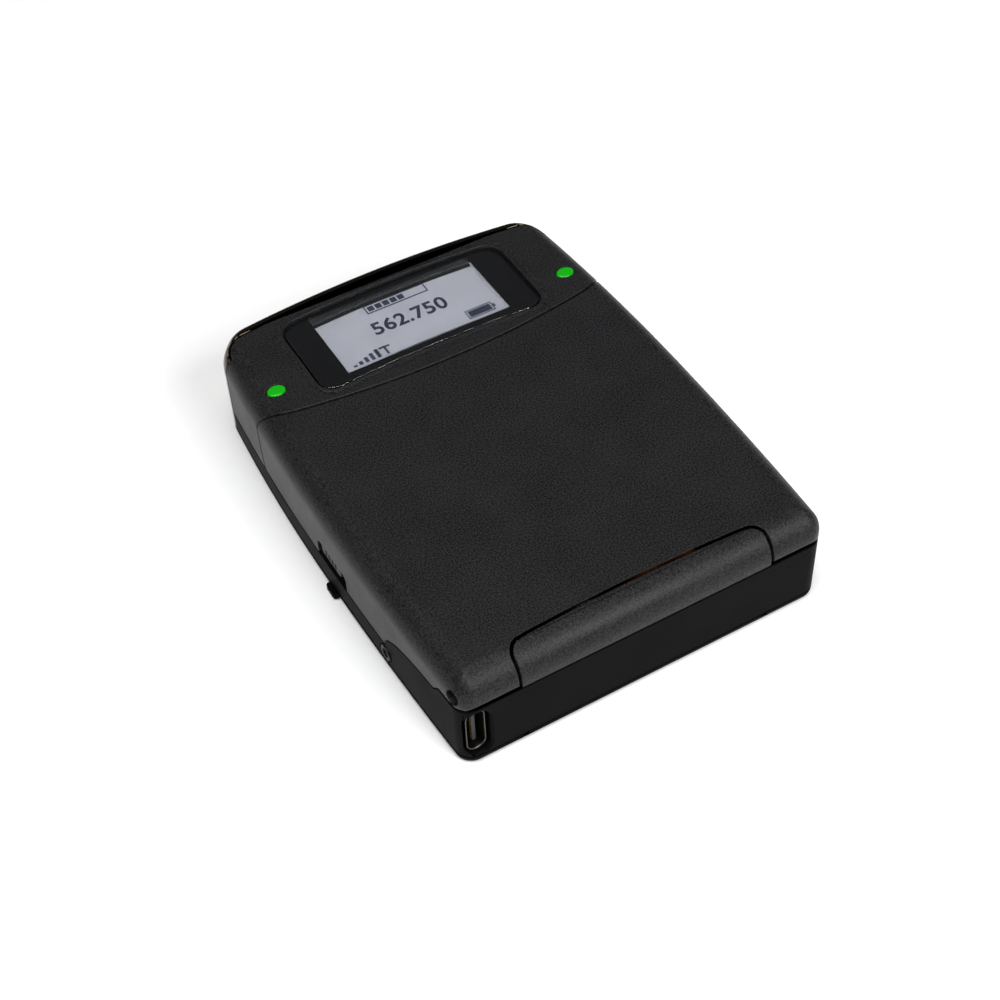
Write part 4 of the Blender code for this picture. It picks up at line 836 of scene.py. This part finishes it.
def window_outline(grow):
    """The window: a rounded box whose long edges follow the arch, grown by a distance in mm."""
    size = grow * MM
    radius = WINDOW_CORNER_R + (size if size > 0 else size / 2)
    flat = rounded_box(WINDOW_HALF + size, WINDOW_HALF_Y + size, radius, (0.0, WINDOW_Y), 10)
    points = []
    for i, (x, y) in enumerate(flat):
        points.append((x, y))
        following = flat[(i + 1) % len(flat)]
        if abs(following[0] - x) > WINDOW_HALF:
            points += [(x + (following[0] - x) * k / 16, y) for k in range(1, 16)]
    return [(x, y - x**2 / 2 / ARCH_R) for x, y in points]


def oval(centre, half_x, half_y, steps=48):
    """Points of an oval round a centre."""
    turns = [2 * pi * k / steps for k in range(steps)]
    return [(centre.x + half_x * cos(turn), centre.y + half_y * sin(turn)) for turn in turns]


THROUGH = 5 * MM
bezel = add_piece("front_bezel_casting", case_block(SHELL_Z))
hollow = board_room(2 * MM, PLATE_Z, WIDEST_Y)
combine(bezel, [beyond_seam(SEAM_GAP / 2, -BEYOND), cap_rebate(), hollow])
cuts = [slab(window_outline(0.3), POCKET_Z, THROUGH), slab(window_outline(-1.7), PLATE_Z - MM, THROUGH)]
GROOVE = ((0.5, 0.4), (0.5, 0.07), (0.9, -0.1), (1.15, -0.15), (1.45, -0.11), (1.95, 0.07), (1.95, 0.4))
cuts.append(loft([at_height(window_outline(grow), CASE_DEPTH + z * MM) for grow, z in GROOVE], True))
cuts += connector_bores()
for word in ("left", "right"):
    hole = oval(middle(f"light_pipe_{word}"), 1.65 * MM, 1.3 * MM)
    cuts.append(slab(hole, PLATE_Z - MM, THROUGH))
for word in ("up", "down"):
    spot = middle(f"button_{word}")
    hole = rounded_box(1.5 * MM, 2.25 * MM, 0.95 * MM, spot[1:])
    cuts.append(crosswise(hole, spot.x - 3 * MM, 8 * MM))
combine(bezel, cuts)
round_edges(bezel, 0.16)
dress(bezel, SHELL_COAT, "case", "shell", "front_bezel")

# ---- Window and display -----------------------------------------------------------------------
# A clear hardened pane, printed black round its edge from behind, over a grey memory-type
# display that shows a number, a level, a signal and a charge symbol in dark blue.

# Clear hardened glass: polished. Lamps pass straight through it to what it covers.
GLASS, tree, shader, place = start_material("clear_hardened_glass")
shader.inputs["Base Color"].default_value = srgb("#f2f4f5")
shader.inputs["Transmission Weight"].default_value = 1.0
shader.inputs["IOR"].default_value = 1.5
smears = add_node(tree, "ShaderNodeTexNoise", {"Vector": place, "Scale": 1 / (9 * MM), "Detail": 5.0})
limits = {"Value": smears.outputs[0], "From Min": 0.4, "From Max": 0.8, "To Min": 0.01, "To Max": 0.05}
polish = add_node(tree, "ShaderNodeMapRange", limits)
tree.links.new(polish.outputs[0], shader.inputs["Roughness"])
rays = add_node(tree, "ShaderNodeLightPath")
clear = add_node(tree, "ShaderNodeBsdfTransparent", {"Color": srgb("#eef0f1")})
mixed = add_node(tree, "ShaderNodeMixShader", {0: rays.outputs["Is Shadow Ray"], 1: shader.outputs[0]})
tree.links.new(clear.outputs[0], mixed.inputs[2])
tree.links.new(mixed.outputs[0], tree.nodes["Material Output"].inputs["Surface"])
# Black screen-printing ink on glass: dense, smooth and even.
PRINT_INK = make_finish(
    "black_screen_ink", "#030304", 0.7, grain=0.2, depth=0.0005, mottle=0.1, gleam=0.0
)
# Reflective display: a fine grid of cells about a fifth of a millimetre apart, over a silvery grey.
DISPLAY_GREY = make_finish("reflective_display", "#84838a", 0.42, grain=0.2, depth=0.001, mottle=0.05)
DISPLAY_INK = make_finish("display_dark_cells", "#14182a", 0.4, grain=0.2, depth=0.001, mottle=0.12)
PALE_EDGE = make_finish("display_cut_edge", "#a5a6aa", 0.35, grain=0.3, depth=0.001, mottle=0.05)

levels = [(0.0, LENS_LOW[2]), (0.0, LENS_HIGH[2] - 0.22 * MM)]
levels += [(-0.07, LENS_HIGH[2] - 0.07 * MM), (-0.22, LENS_HIGH[2])]
lens = add_piece("window_pane", loft([at_height(window_outline(grow), z) for grow, z in levels]))
round_edges(lens, 0.02, 1, 40)
dress(lens, GLASS, "case", "lens", "window_lens")

VIEW_HALF = (14.94 * MM, 7.45 * MM)
VIEW_Y = WINDOW_Y + 0.35 * MM
print_z = LENS_LOW[2] - 0.06 * MM
border = add_piece("window_print", slab(window_outline(-0.02), print_z, 0.05 * MM))
view = rounded_box(VIEW_HALF[0], VIEW_HALF[1], 0.12 * MM, (0.0, VIEW_Y), 3)
combine(border, [slab(view, print_z - MM, 2 * MM)])
round_edges(border, 0.01, 1)
dress(border, PRINT_INK, "case", "lens")
foot, head = LENS_LOW[2] + 0.06 * MM, LENS_LOW[2] + (LENS_HIGH[2] - LENS_LOW[2] - 0.3 * MM)
wall = [(-0.02, foot), (-0.14, foot), (-0.14, head), (-0.02, head)]
rings = [at_height(window_outline(grow), z) for grow, z in wall]
edge_print = add_piece("window_edge_print", loft(rings, True))
round_edges(edge_print, 0.01, 1)
dress(edge_print, PRINT_INK, "case", "lens")

DISPLAY_LOW, DISPLAY_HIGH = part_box("display_glass")
FACE_Z = DISPLAY_HIGH[2]
panel_form = slab(window_outline(-2.5), DISPLAY_LOW[2], FACE_Z - DISPLAY_LOW[2])
panel = add_piece("display_panel", panel_form)
round_edges(panel, 0.06, 2)
dress(panel, DISPLAY_GREY, "case", "display", "display_glass")
outside = rounded_box(VIEW_HALF[0] + 0.5 * MM, VIEW_HALF[1] + 0.2 * MM, 0.1 * MM, (0.0, VIEW_Y), 3)
inside = rounded_box(VIEW_HALF[0] - 0.12 * MM, VIEW_HALF[1] - 0.12 * MM, 0.1 * MM, (0.0, VIEW_Y), 3)
rim = add_piece("display_edge", slab(outside, FACE_Z, 0.03 * MM))
combine(rim, [slab(inside, FACE_Z - MM, 2 * MM)])
round_edges(rim, 0.01, 1)
dress(rim, PALE_EDGE, "case", "display")

INK_DEPTH = 0.02 * MM


def printed_number(text, size, centre, weight):
    """Digits of a height in mm, thickened by a weight, as a thin mesh on the display's face."""
    words = bpy.data.curves.new("number", "FONT")
    words.body = text
    words.size = size * MM
    words.align_x = "CENTER"
    words.align_y = "CENTER"
    words.offset = weight * MM
    words.extrude = INK_DEPTH / 2
    words.space_character = 1.05
    mesh = curve_mesh(words)
    place = (centre[0] * MM, VIEW_Y + centre[1] * MM, FACE_Z + INK_DEPTH / 2)
    mesh.transform(Matrix.Translation(place))
    form = bmesh.new()
    form.from_mesh(mesh)
    bmesh.ops.remove_doubles(form, verts=form.verts, dist=0.0005 * MM)
    return form


def mark(low, high):
    """A flat rectangle on the display, from corners in mm measured from its middle."""
    near = (low[0] * MM, VIEW_Y + low[1] * MM, FACE_Z)
    return block(near, (high[0] * MM, VIEW_Y + high[1] * MM, FACE_Z + INK_DEPTH))


number = add_piece("display_number", printed_number("562.750", 4.1, (0.0, -0.2), 0.1))
dress(number, DISPLAY_INK, "case", "display")
bars = [mark((-5.2 + 1.4 * k, 4.3), (-4.1 + 1.4 * k, 5.5)) for k in range(5)]
bars += [mark((-5.7, 3.8), (5.7, 4.05)), mark((-5.7, 5.75), (5.7, 6.0))]
bars += [mark((-5.7, 3.8), (-5.45, 6.0)), mark((5.45, 3.8), (5.7, 6.0))]
bars += [mark((-13.4 + 1.1 * k, -6.4), (-12.75 + 1.1 * k, -6.0 + 0.42 * k)) for k in range(5)]
bars += [mark((-7.3, -6.4), (-6.9, -4.3)), mark((-8.1, -4.75), (-6.1, -4.35))]
bars += [mark((8.1, -6.3), (13.0, -6.1)), mark((8.1, -4.3), (13.0, -4.1))]
bars += [mark((8.1, -6.3), (8.3, -4.1)), mark((12.8, -6.3), (13.0, -4.1))]
bars += [mark((13.0, -5.6), (13.4, -4.8)), mark((8.5, -5.95), (12.6, -4.45))]
symbols = add_piece("display_symbols", bars[0])
combine(symbols, bars[1:], "UNION")
dress(symbols, DISPLAY_INK, "case", "display")

# ---- Light pipes ------------------------------------------------------------------------------
# Oval pipes of clear green acrylic, pressed up into the bezel over a lamp. Their ends are domed.

# Lit green acrylic: a saturated glow, a little stronger in the middle.
GREEN_ACRYLIC = make_finish("lit_green_acrylic", "#087408", 0.2, grain=0.4, depth=0.001, mottle=0.06)
glow = GREEN_ACRYLIC.node_tree.nodes["Principled BSDF"]
glow.inputs["Emission Color"].default_value = srgb("#10d80c")
glow.inputs["Emission Strength"].default_value = 0.3
DOME = (
    (-2.2, 0.8), (-0.2, 0.8), (0.0, 1.0), (1.98, 1.0),
    (2.05, 0.97), (2.1, 0.88), (2.13, 0.7), (2.15, 0.4),
)
for word in ("left", "right"):
    spot = middle(f"light_pipe_{word}")
    rings = []
    for rise, share in DOME:
        ring = oval(spot, 1.5 * MM * share, 1.15 * MM * share)
        rings.append(at_height(ring, PLATE_Z + rise * MM))
    pipe = add_piece(f"light_pipe_{word}_moulded", loft(rings))
    round_edges(pipe, 0.02, 1, 40)
    dress(pipe, GREEN_ACRYLIC, "case", "green_light", f"light_pipe_{word}")

# ---- Hinge block and pins ---------------------------------------------------------------------
# The fixed tongue between the door's arms, cast to the case's own shape and coated like the door.
# A ground steel pin runs through each side of it into an arm.

BLOCK_END_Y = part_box("hinge_block")[1][1]
BLOCK_BOW = 0.7 * MM
BLOCK_CORNER_R = 2.2 * MM
PIN_START = 14.5 * MM
PIN_BORE_R = 1.22 * MM


def block_edge(x, grow):
    """The tongue's far edge: bowed, with rounded ends, moved out by grow."""
    half = BLOCK_HALF + grow
    radius = BLOCK_CORNER_R + grow
    y = BLOCK_END_Y + grow - BLOCK_BOW * (x / BLOCK_HALF) ** 2
    past = abs(x) - (half - radius)
    return y if past <= 0 else y - radius + sqrt(max(radius**2 - past**2, 0.0))


def edge_places(half, steps=40):
    """Distances across the tongue that crowd towards its ends."""
    return [half * sin(pi / 2 * (2 * i / steps - 1)) for i in range(steps + 1)]


def pin_bores():
    """The bore for each pin, through the tongue and into an arm."""
    starts = [((side * PIN_START, HINGE.y, HINGE.z), (side, 0, 0)) for side in (-1, 1)]
    return [rod(start, way, PIN_BORE_R, 25 * MM) for start, way in starts]


tongue = add_piece("hinge_block_casting", case_block(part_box("hinge_block")[0][2]))
outline = [(-BLOCK_HALF, -BEYOND), (BLOCK_HALF, -BEYOND)]
outline += [(x, block_edge(x, 0.0)) for x in reversed(edge_places(BLOCK_HALF))]
combine(tongue, [slab(outline, 10 * MM, 10 * MM)], "INTERSECT")
combine(tongue, pin_bores())
round_edges(tongue, 0.14)
dress(tongue, SHELL_COAT, "case", "shell", "hinge_block")
for side, word in SIDES:
    start, end = [reach / MM for reach in side_reach(f"hinge_pin_{word}")]
    profile = [(start, 0), (start, 0.9), (start + 0.2, 1.1), (end - 0.2, 1.1), (end, 0.9), (end, 0)]
    pin = add_piece(f"hinge_pin_{word}_ground", spun(profile, HINGE, (side, 0, 0)))
    round_edges(pin, 0.03, 2)
    dress(pin, BLACK_OXIDE, "case", "steel", f"hinge_pin_{word}")

# ---- Battery door -----------------------------------------------------------------------------
# A cast shell with skirts down both sides and two arms that turn on the pins. Its edge round the
# tongue is undercut on the door's own swing, and foam pads inside hold the cells down.

DOOR_UNDERSIDE = CASE_DEPTH - 1.6 * MM
door = add_piece("battery_door_casting", case_block(SHELL_Z))
DOOR_HOLLOW = ((2.0, 0.0), (15.2, 0.0), (15.7, 0.1), (16.1, 0.5), (16.4, 1.3))
rings = []
for z, more in DOOR_HOLLOW:
    outline = case_outline((1.6 + more) * MM, 0.1 * MM, (6.0 + more / 2) * MM)
    rings.append(at_height(outline, z * MM))
notch_half = BLOCK_HALF + SEAM_GAP
profile = []
for x in edge_places(notch_half, 60):
    y = block_edge(x, SEAM_GAP)
    fall = min(y - END_Y - END_ROUND, 0.0)
    rise = CASE_DEPTH - END_ROUND + sqrt(END_ROUND**2 - fall**2) - HINGE.z
    profile.append((x / MM, hypot(y - HINGE.y, rise) / MM))
swing = spun([(-notch_half / MM, 0), *profile, (notch_half / MM, 0)], HINGE, (1, 0, 0), 128)
under = (block_edge(0, SEAM_GAP) + 1.3 * MM, notch_half - 2.4 * MM)
cuts = [beyond_seam(-SEAM_GAP / 2, BEYOND), loft(rings), swing]
cuts.append(block((-under[1], -BEYOND, MM), (under[1], under[0], DOOR_UNDERSIDE)))
cuts.append(block((-notch_half, -BEYOND, MM), (notch_half, HINGE.y + 2.0 * MM, HINGE.z)))
profile = [(-BEYOND, MM), (-BEYOND, ARM_LOW_Z + 2 * MM), (END_Y - 0.3 * MM, ARM_LOW_Z + 0.8 * MM)]
profile += [(END_Y + 0.5 * MM, ARM_LOW_Z), (SKIRT_START_Y - 0.4 * MM, ARM_LOW_Z)]
profile += [*skirt_line(SHELL_Z - PARTING_Z), (BEYOND, SHELL_Z), (BEYOND, MM)]
cuts.append(crosswise(profile, -BEYOND, 2 * BEYOND))
for side, word in SIDES:
    spot = middle(f"latch_{word}")
    low_y, high_y = spot.y - 5.8 * MM, spot.y + 3.6 * MM
    centre = ((high_y + low_y) / 2, spot.z + 1.6 * MM - 3 * MM)
    slot = rounded_box((high_y - low_y) / 2, 3 * MM, 1.1 * MM, centre)
    cuts.append(crosswise(slot, side * (HALF_WIDTH - 4 * MM), side * 8 * MM))
combine(door, cuts + pin_bores())
round_edges(door, 0.14)
dress(door, SHELL_COAT, "door", "shell", "battery_door")
for side, word in SIDES:
    x = side * 7.4 * MM
    low = (x - 3 * MM, -26 * MM, DOOR_UNDERSIDE - 0.2 * MM)
    pad = add_piece(f"door_pad_{word}", block(low, (x + 3 * MM, 2 * MM, DOOR_UNDERSIDE + 0.05 * MM)))
    round_edges(pad, 0.08, 2)
    dress(pad, NEOPRENE, "door", "gasket")

# ---- Top cap ----------------------------------------------------------------------------------
# A band drawn round the connector end and plated with black nickel, with holes for the connectors
# and the power button. The plating is glossy, warm and near black.

# Black nickel: a dark, warm mirror with faint polishing lines.
BLACK_NICKEL = make_finish(
    "black_nickel_plate", "#4a4238", 0.12, 1.0, grain=0.5, depth=0.0012, mottle=0.08, drag=(0.2, 1, 1)
)
cap = add_piece("top_cap_drawn", case_block(FOOT_Z))
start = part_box("top_cap")[0][1]
inner = slab(case_outline(1.2 * MM, 1.6 * MM, 0), 0, ABOVE_CASE)
combine(cap, [block((-BEYOND, -BEYOND, -MM), (BEYOND, start, ABOVE_CASE)), inner])
hole_radii = {"antenna_jack": 3.45, "input_socket_1": 3.8, "input_socket_2": 3.8, "power_button": 2.4}
combine(cap, end_bores(hole_radii, CREST_Y - 12 * MM))
round_edges(cap, 0.22)
dress(cap, BLACK_NICKEL, "case", "dark_nickel", "top_cap")

# ---- Antenna jack -----------------------------------------------------------------------------
# A turned and gold-plated threaded barrel with a white insulator and a spring contact, held by a
# hexagonal nut.

# Moulded fluoropolymer: white, waxy and smooth.
WHITE_POLYMER = make_finish("white_fluoropolymer", "#dcdad2", 0.4, grain=0.3, depth=0.002, mottle=0.04)
JACK = middle("antenna_jack")
AXIS_SPOT = (JACK.x, 0, JACK.z)
back, mouth = ends_along("antenna_jack")


def threaded(start, end, radius, pitch, depth):
    """Points of a thread's outline along a barrel, in mm."""
    points = []
    turns = int((end - start) / pitch)
    for k in range(turns):
        root = start + k * pitch
        points += [(root, radius - depth), (root + 0.4 * pitch, radius), (root + 0.6 * pitch, radius)]
    return points


profile = [(back, 0), (back, 4.1), (back + 5, 4.1), (back + 5, 3.0), (back + 7.5, 3.0)]
profile += threaded(back + 7.6, mouth - 0.4, 3.15, 0.7, 0.3)
profile += [(mouth - 0.35, 2.95), (mouth - 0.1, 2.85), (mouth, 2.75), (mouth, 2.4), (mouth - 0.1, 2.3)]
profile += [(mouth - 3.6, 2.3), (mouth - 3.6, 0)]
jack = add_piece("antenna_jack_turned", spun(profile, AXIS_SPOT, (0, 1, 0), 96))
round_edges(jack, 0.04, 2, 40)
dress(jack, GOLD_PLATE, "case", "gold", "antenna_jack")
profile = [(mouth - 3.3, 0.75), (mouth - 0.7, 0.75), (mouth - 0.6, 0.85), (mouth - 0.6, 1.85)]
profile += [(mouth - 0.75, 2.0), (mouth - 3.3, 2.0)]
insulator = add_piece("antenna_insulator_moulded", spun(profile, AXIS_SPOT, (0, 1, 0)))
round_edges(insulator, 0.03, 2)
dress(insulator, WHITE_POLYMER, "case", "insulator", "antenna_insulator")
profile = [(mouth - 3.3, 0), (mouth - 3.3, 0.5), (mouth - 0.5, 0.5), (mouth - 0.4, 0.42)]
profile += [(mouth - 0.4, 0.28), (mouth - 1.6, 0.25), (mouth - 1.6, 0)]
contact = add_piece("antenna_contact_turned", spun(profile, AXIS_SPOT, (0, 1, 0), 32))
slit_low = (JACK.x - 0.06 * MM, (mouth - 1.5) * MM, JACK.z - MM)
combine(contact, [block(slit_low, (JACK.x + 0.06 * MM, (mouth + 1) * MM, JACK.z + MM))])
round_edges(contact, 0.02, 2)
dress(contact, GOLD_PLATE, "case", "gold", "antenna_contact")
NUT_R = 4.6
nut_low, nut_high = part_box("antenna_nut")
flats = []
for k in range(6):
    a = pi / 3 * k
    flats.append((JACK.x + NUT_R * MM * cos(a), nut_low[1], JACK.z + NUT_R * MM * sin(a)))
nut = add_piece("antenna_nut_turned", extruded(flats, (0, nut_high[1] - nut_low[1], 0)))
start, end = ends_along("antenna_nut")
profile = [(start - 1, 0), (start - 1, NUT_R), (end - 0.35, 4.6), (end + 0.1, 3.9), (end + 0.1, 0)]
combine(nut, [spun(profile, AXIS_SPOT, (0, 1, 0))], "INTERSECT")
combine(nut, [rod(AXIS_SPOT, (0, 1, 0), 3.3 * MM, BEYOND)])
round_edges(nut, 0.06, 2)
dress(nut, NICKEL_STEEL, "case", "steel", "antenna_nut")

# ---- Input sockets ----------------------------------------------------------------------------
# Two threaded microphone sockets: a black nickel barrel with a keyway, a black insert with three
# gold pins, and a round nut with four spanner slots.

PIN_COUNT = 3
for number in (1, 2):
    spot = middle(f"input_socket_{number}")
    centre = (spot.x, 0, spot.z)
    back, mouth = ends_along(f"input_socket_{number}")
    profile = [(back, 0), (back, 4.1), (back + 5, 4.1), (back + 5, 3.3), (back + 7, 3.3)]
    profile += threaded(back + 7.1, mouth - 0.4, 3.5, 0.5, 0.22)
    profile += [(mouth - 0.35, 3.35), (mouth - 0.1, 3.28), (mouth, 3.15), (mouth, 2.85)]
    profile += [(mouth - 0.15, 2.7), (mouth - 4, 2.7), (mouth - 4, 0)]
    socket = add_piece(f"input_socket_{number}_turned", spun(profile, centre, (0, 1, 0), 96))
    low = (spot.x - 0.35 * MM, (mouth - 3.6) * MM, spot.z)
    high = (spot.x + 0.35 * MM, (mouth + 1) * MM, spot.z + 3.05 * MM)
    combine(socket, [block(low, high)])
    round_edges(socket, 0.04, 2, 40)
    dress(socket, BLACK_NICKEL, "case", "dark_nickel", f"input_socket_{number}")
    low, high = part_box(f"input_insert_{number}")
    start = low[1] / MM
    profile = [(start, 0), (start, 2.4), (start + 0.65, 2.4), (start + 0.8, 2.25), (start + 0.8, 0)]
    insert = add_piece(f"input_insert_{number}_moulded", spun(profile, centre, (0, 1, 0)))
    round_edges(insert, 0.04, 2)
    dress(insert, BLACK_NYLON, "case", "insulator", f"input_insert_{number}")
    form = bmesh.new()
    end = high[1] / MM - start
    for k in range(PIN_COUNT):
        a = 2 * pi * k / PIN_COUNT + pi / 2
        profile = [(0.4, 0), (0.4, 0.35), (end - 0.3, 0.35), (end - 0.1, 0.27), (end, 0.12), (end, 0)]
        foot = (spot.x + 1.3 * MM * cos(a), low[1], spot.z + 1.3 * MM * sin(a))
        pin = spun(profile, foot, (0, 1, 0), 24)
        mesh = bpy.data.meshes.new("pin")
        pin.to_mesh(mesh)
        form.from_mesh(mesh)
        pin.free()
    pins = add_piece(f"input_pins_{number}", form)
    round_edges(pins, 0.02, 1)
    dress(pins, GOLD_PLATE, "case", "gold")
    start, end = ends_along(f"input_nut_{number}")
    profile = [(start, 3.8), (start, 4.75), (start + 0.15, 4.9), (end - 0.3, 4.9), (end, 4.6)]
    profile += [(end, 4.0), (end - 0.2, 3.8)]
    nut = add_piece(f"input_nut_{number}_turned", spun(profile, centre, (0, 1, 0), 96))
    slots = []
    for k in range(4):
        a = pi / 2 * k + pi / 4
        across = Vector((cos(a), 0, sin(a)))
        along = Vector((-sin(a), 0, cos(a))) * 0.55 * MM
        near = Vector((spot.x, (end - 0.7) * MM, spot.z)) + across * 3 * MM
        far = near + across * 3 * MM
        slots.append(extruded([near - along, near + along, far + along, far - along], (0, 2 * MM, 0)))
    combine(nut, slots)
    round_edges(nut, 0.06, 2)
    dress(nut, BLACK_NICKEL, "case", "dark_nickel", f"input_nut_{number}")

# ---- Buttons ----------------------------------------------------------------------------------
# Moulded push buttons: a round one in the cap for power, and two keys in the right side. Each is
# held in by a lip behind its wall.

# Two-shot moulded rubberised plastic: dull, very fine grain.
KEY_RUBBER = make_finish("soft_touch_plastic", "#18181a", 0.6, grain=0.14, depth=0.003, mottle=0.1)
spot = middle("power_button")
start, end = ends_along("power_button")
profile = [(start, 0), (start, 2.6), (start + 0.8, 2.6), (start + 0.8, 2.1), (end - 0.35, 2.1)]
profile += [(end - 0.1, 2.0), (end, 1.8), (end - 0.02, 1.5), (end - 0.14, 1.1)]
profile += [(end - 0.2, 0.6), (end - 0.21, 0)]
button = add_piece("power_button_moulded", spun(profile, (spot.x, 0, spot.z), (0, 1, 0), 72))
round_edges(button, 0.04, 2, 40)
dress(button, KEY_RUBBER, "power_key", "key", "power_button")
for word, way in (("up", 1), ("down", -1)):
    low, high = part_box(f"button_{word}")
    spot = middle(f"button_{word}")
    lip = rounded_box(1.85 * MM, 2.6 * MM, 0.8 * MM, spot[1:])
    key = rounded_box(1.35 * MM, 2.1 * MM, 0.8 * MM, spot[1:])
    edge = rounded_box(1.2 * MM, 1.95 * MM, 0.65 * MM, spot[1:])
    inner = low[0] + 0.8 * MM
    stack = [(lip, low[0]), (lip, inner), (key, inner), (key, high[0] - 0.3 * MM)]
    stack.append((edge, high[0] - 0.15 * MM))
    button = add_piece(f"button_{word}_moulded", stacked(stack, 1))
    tip = spot.y + way * 0.65 * MM
    heel = spot.y - way * 0.45 * MM
    arrow = [(tip, spot.z), (heel, spot.z + 0.9 * MM), (heel, spot.z - 0.9 * MM)]
    combine(button, [crosswise(arrow, high[0] - 0.4 * MM, 0.4 * MM)], "UNION")
    round_edges(button, 0.06, 2)
    dress(button, KEY_RUBBER, f"{word}_key", "key", f"button_{word}")

size = {"cad": [list(corner) for corner in CAD_BOX], "visual": [list(corner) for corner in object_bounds()]}
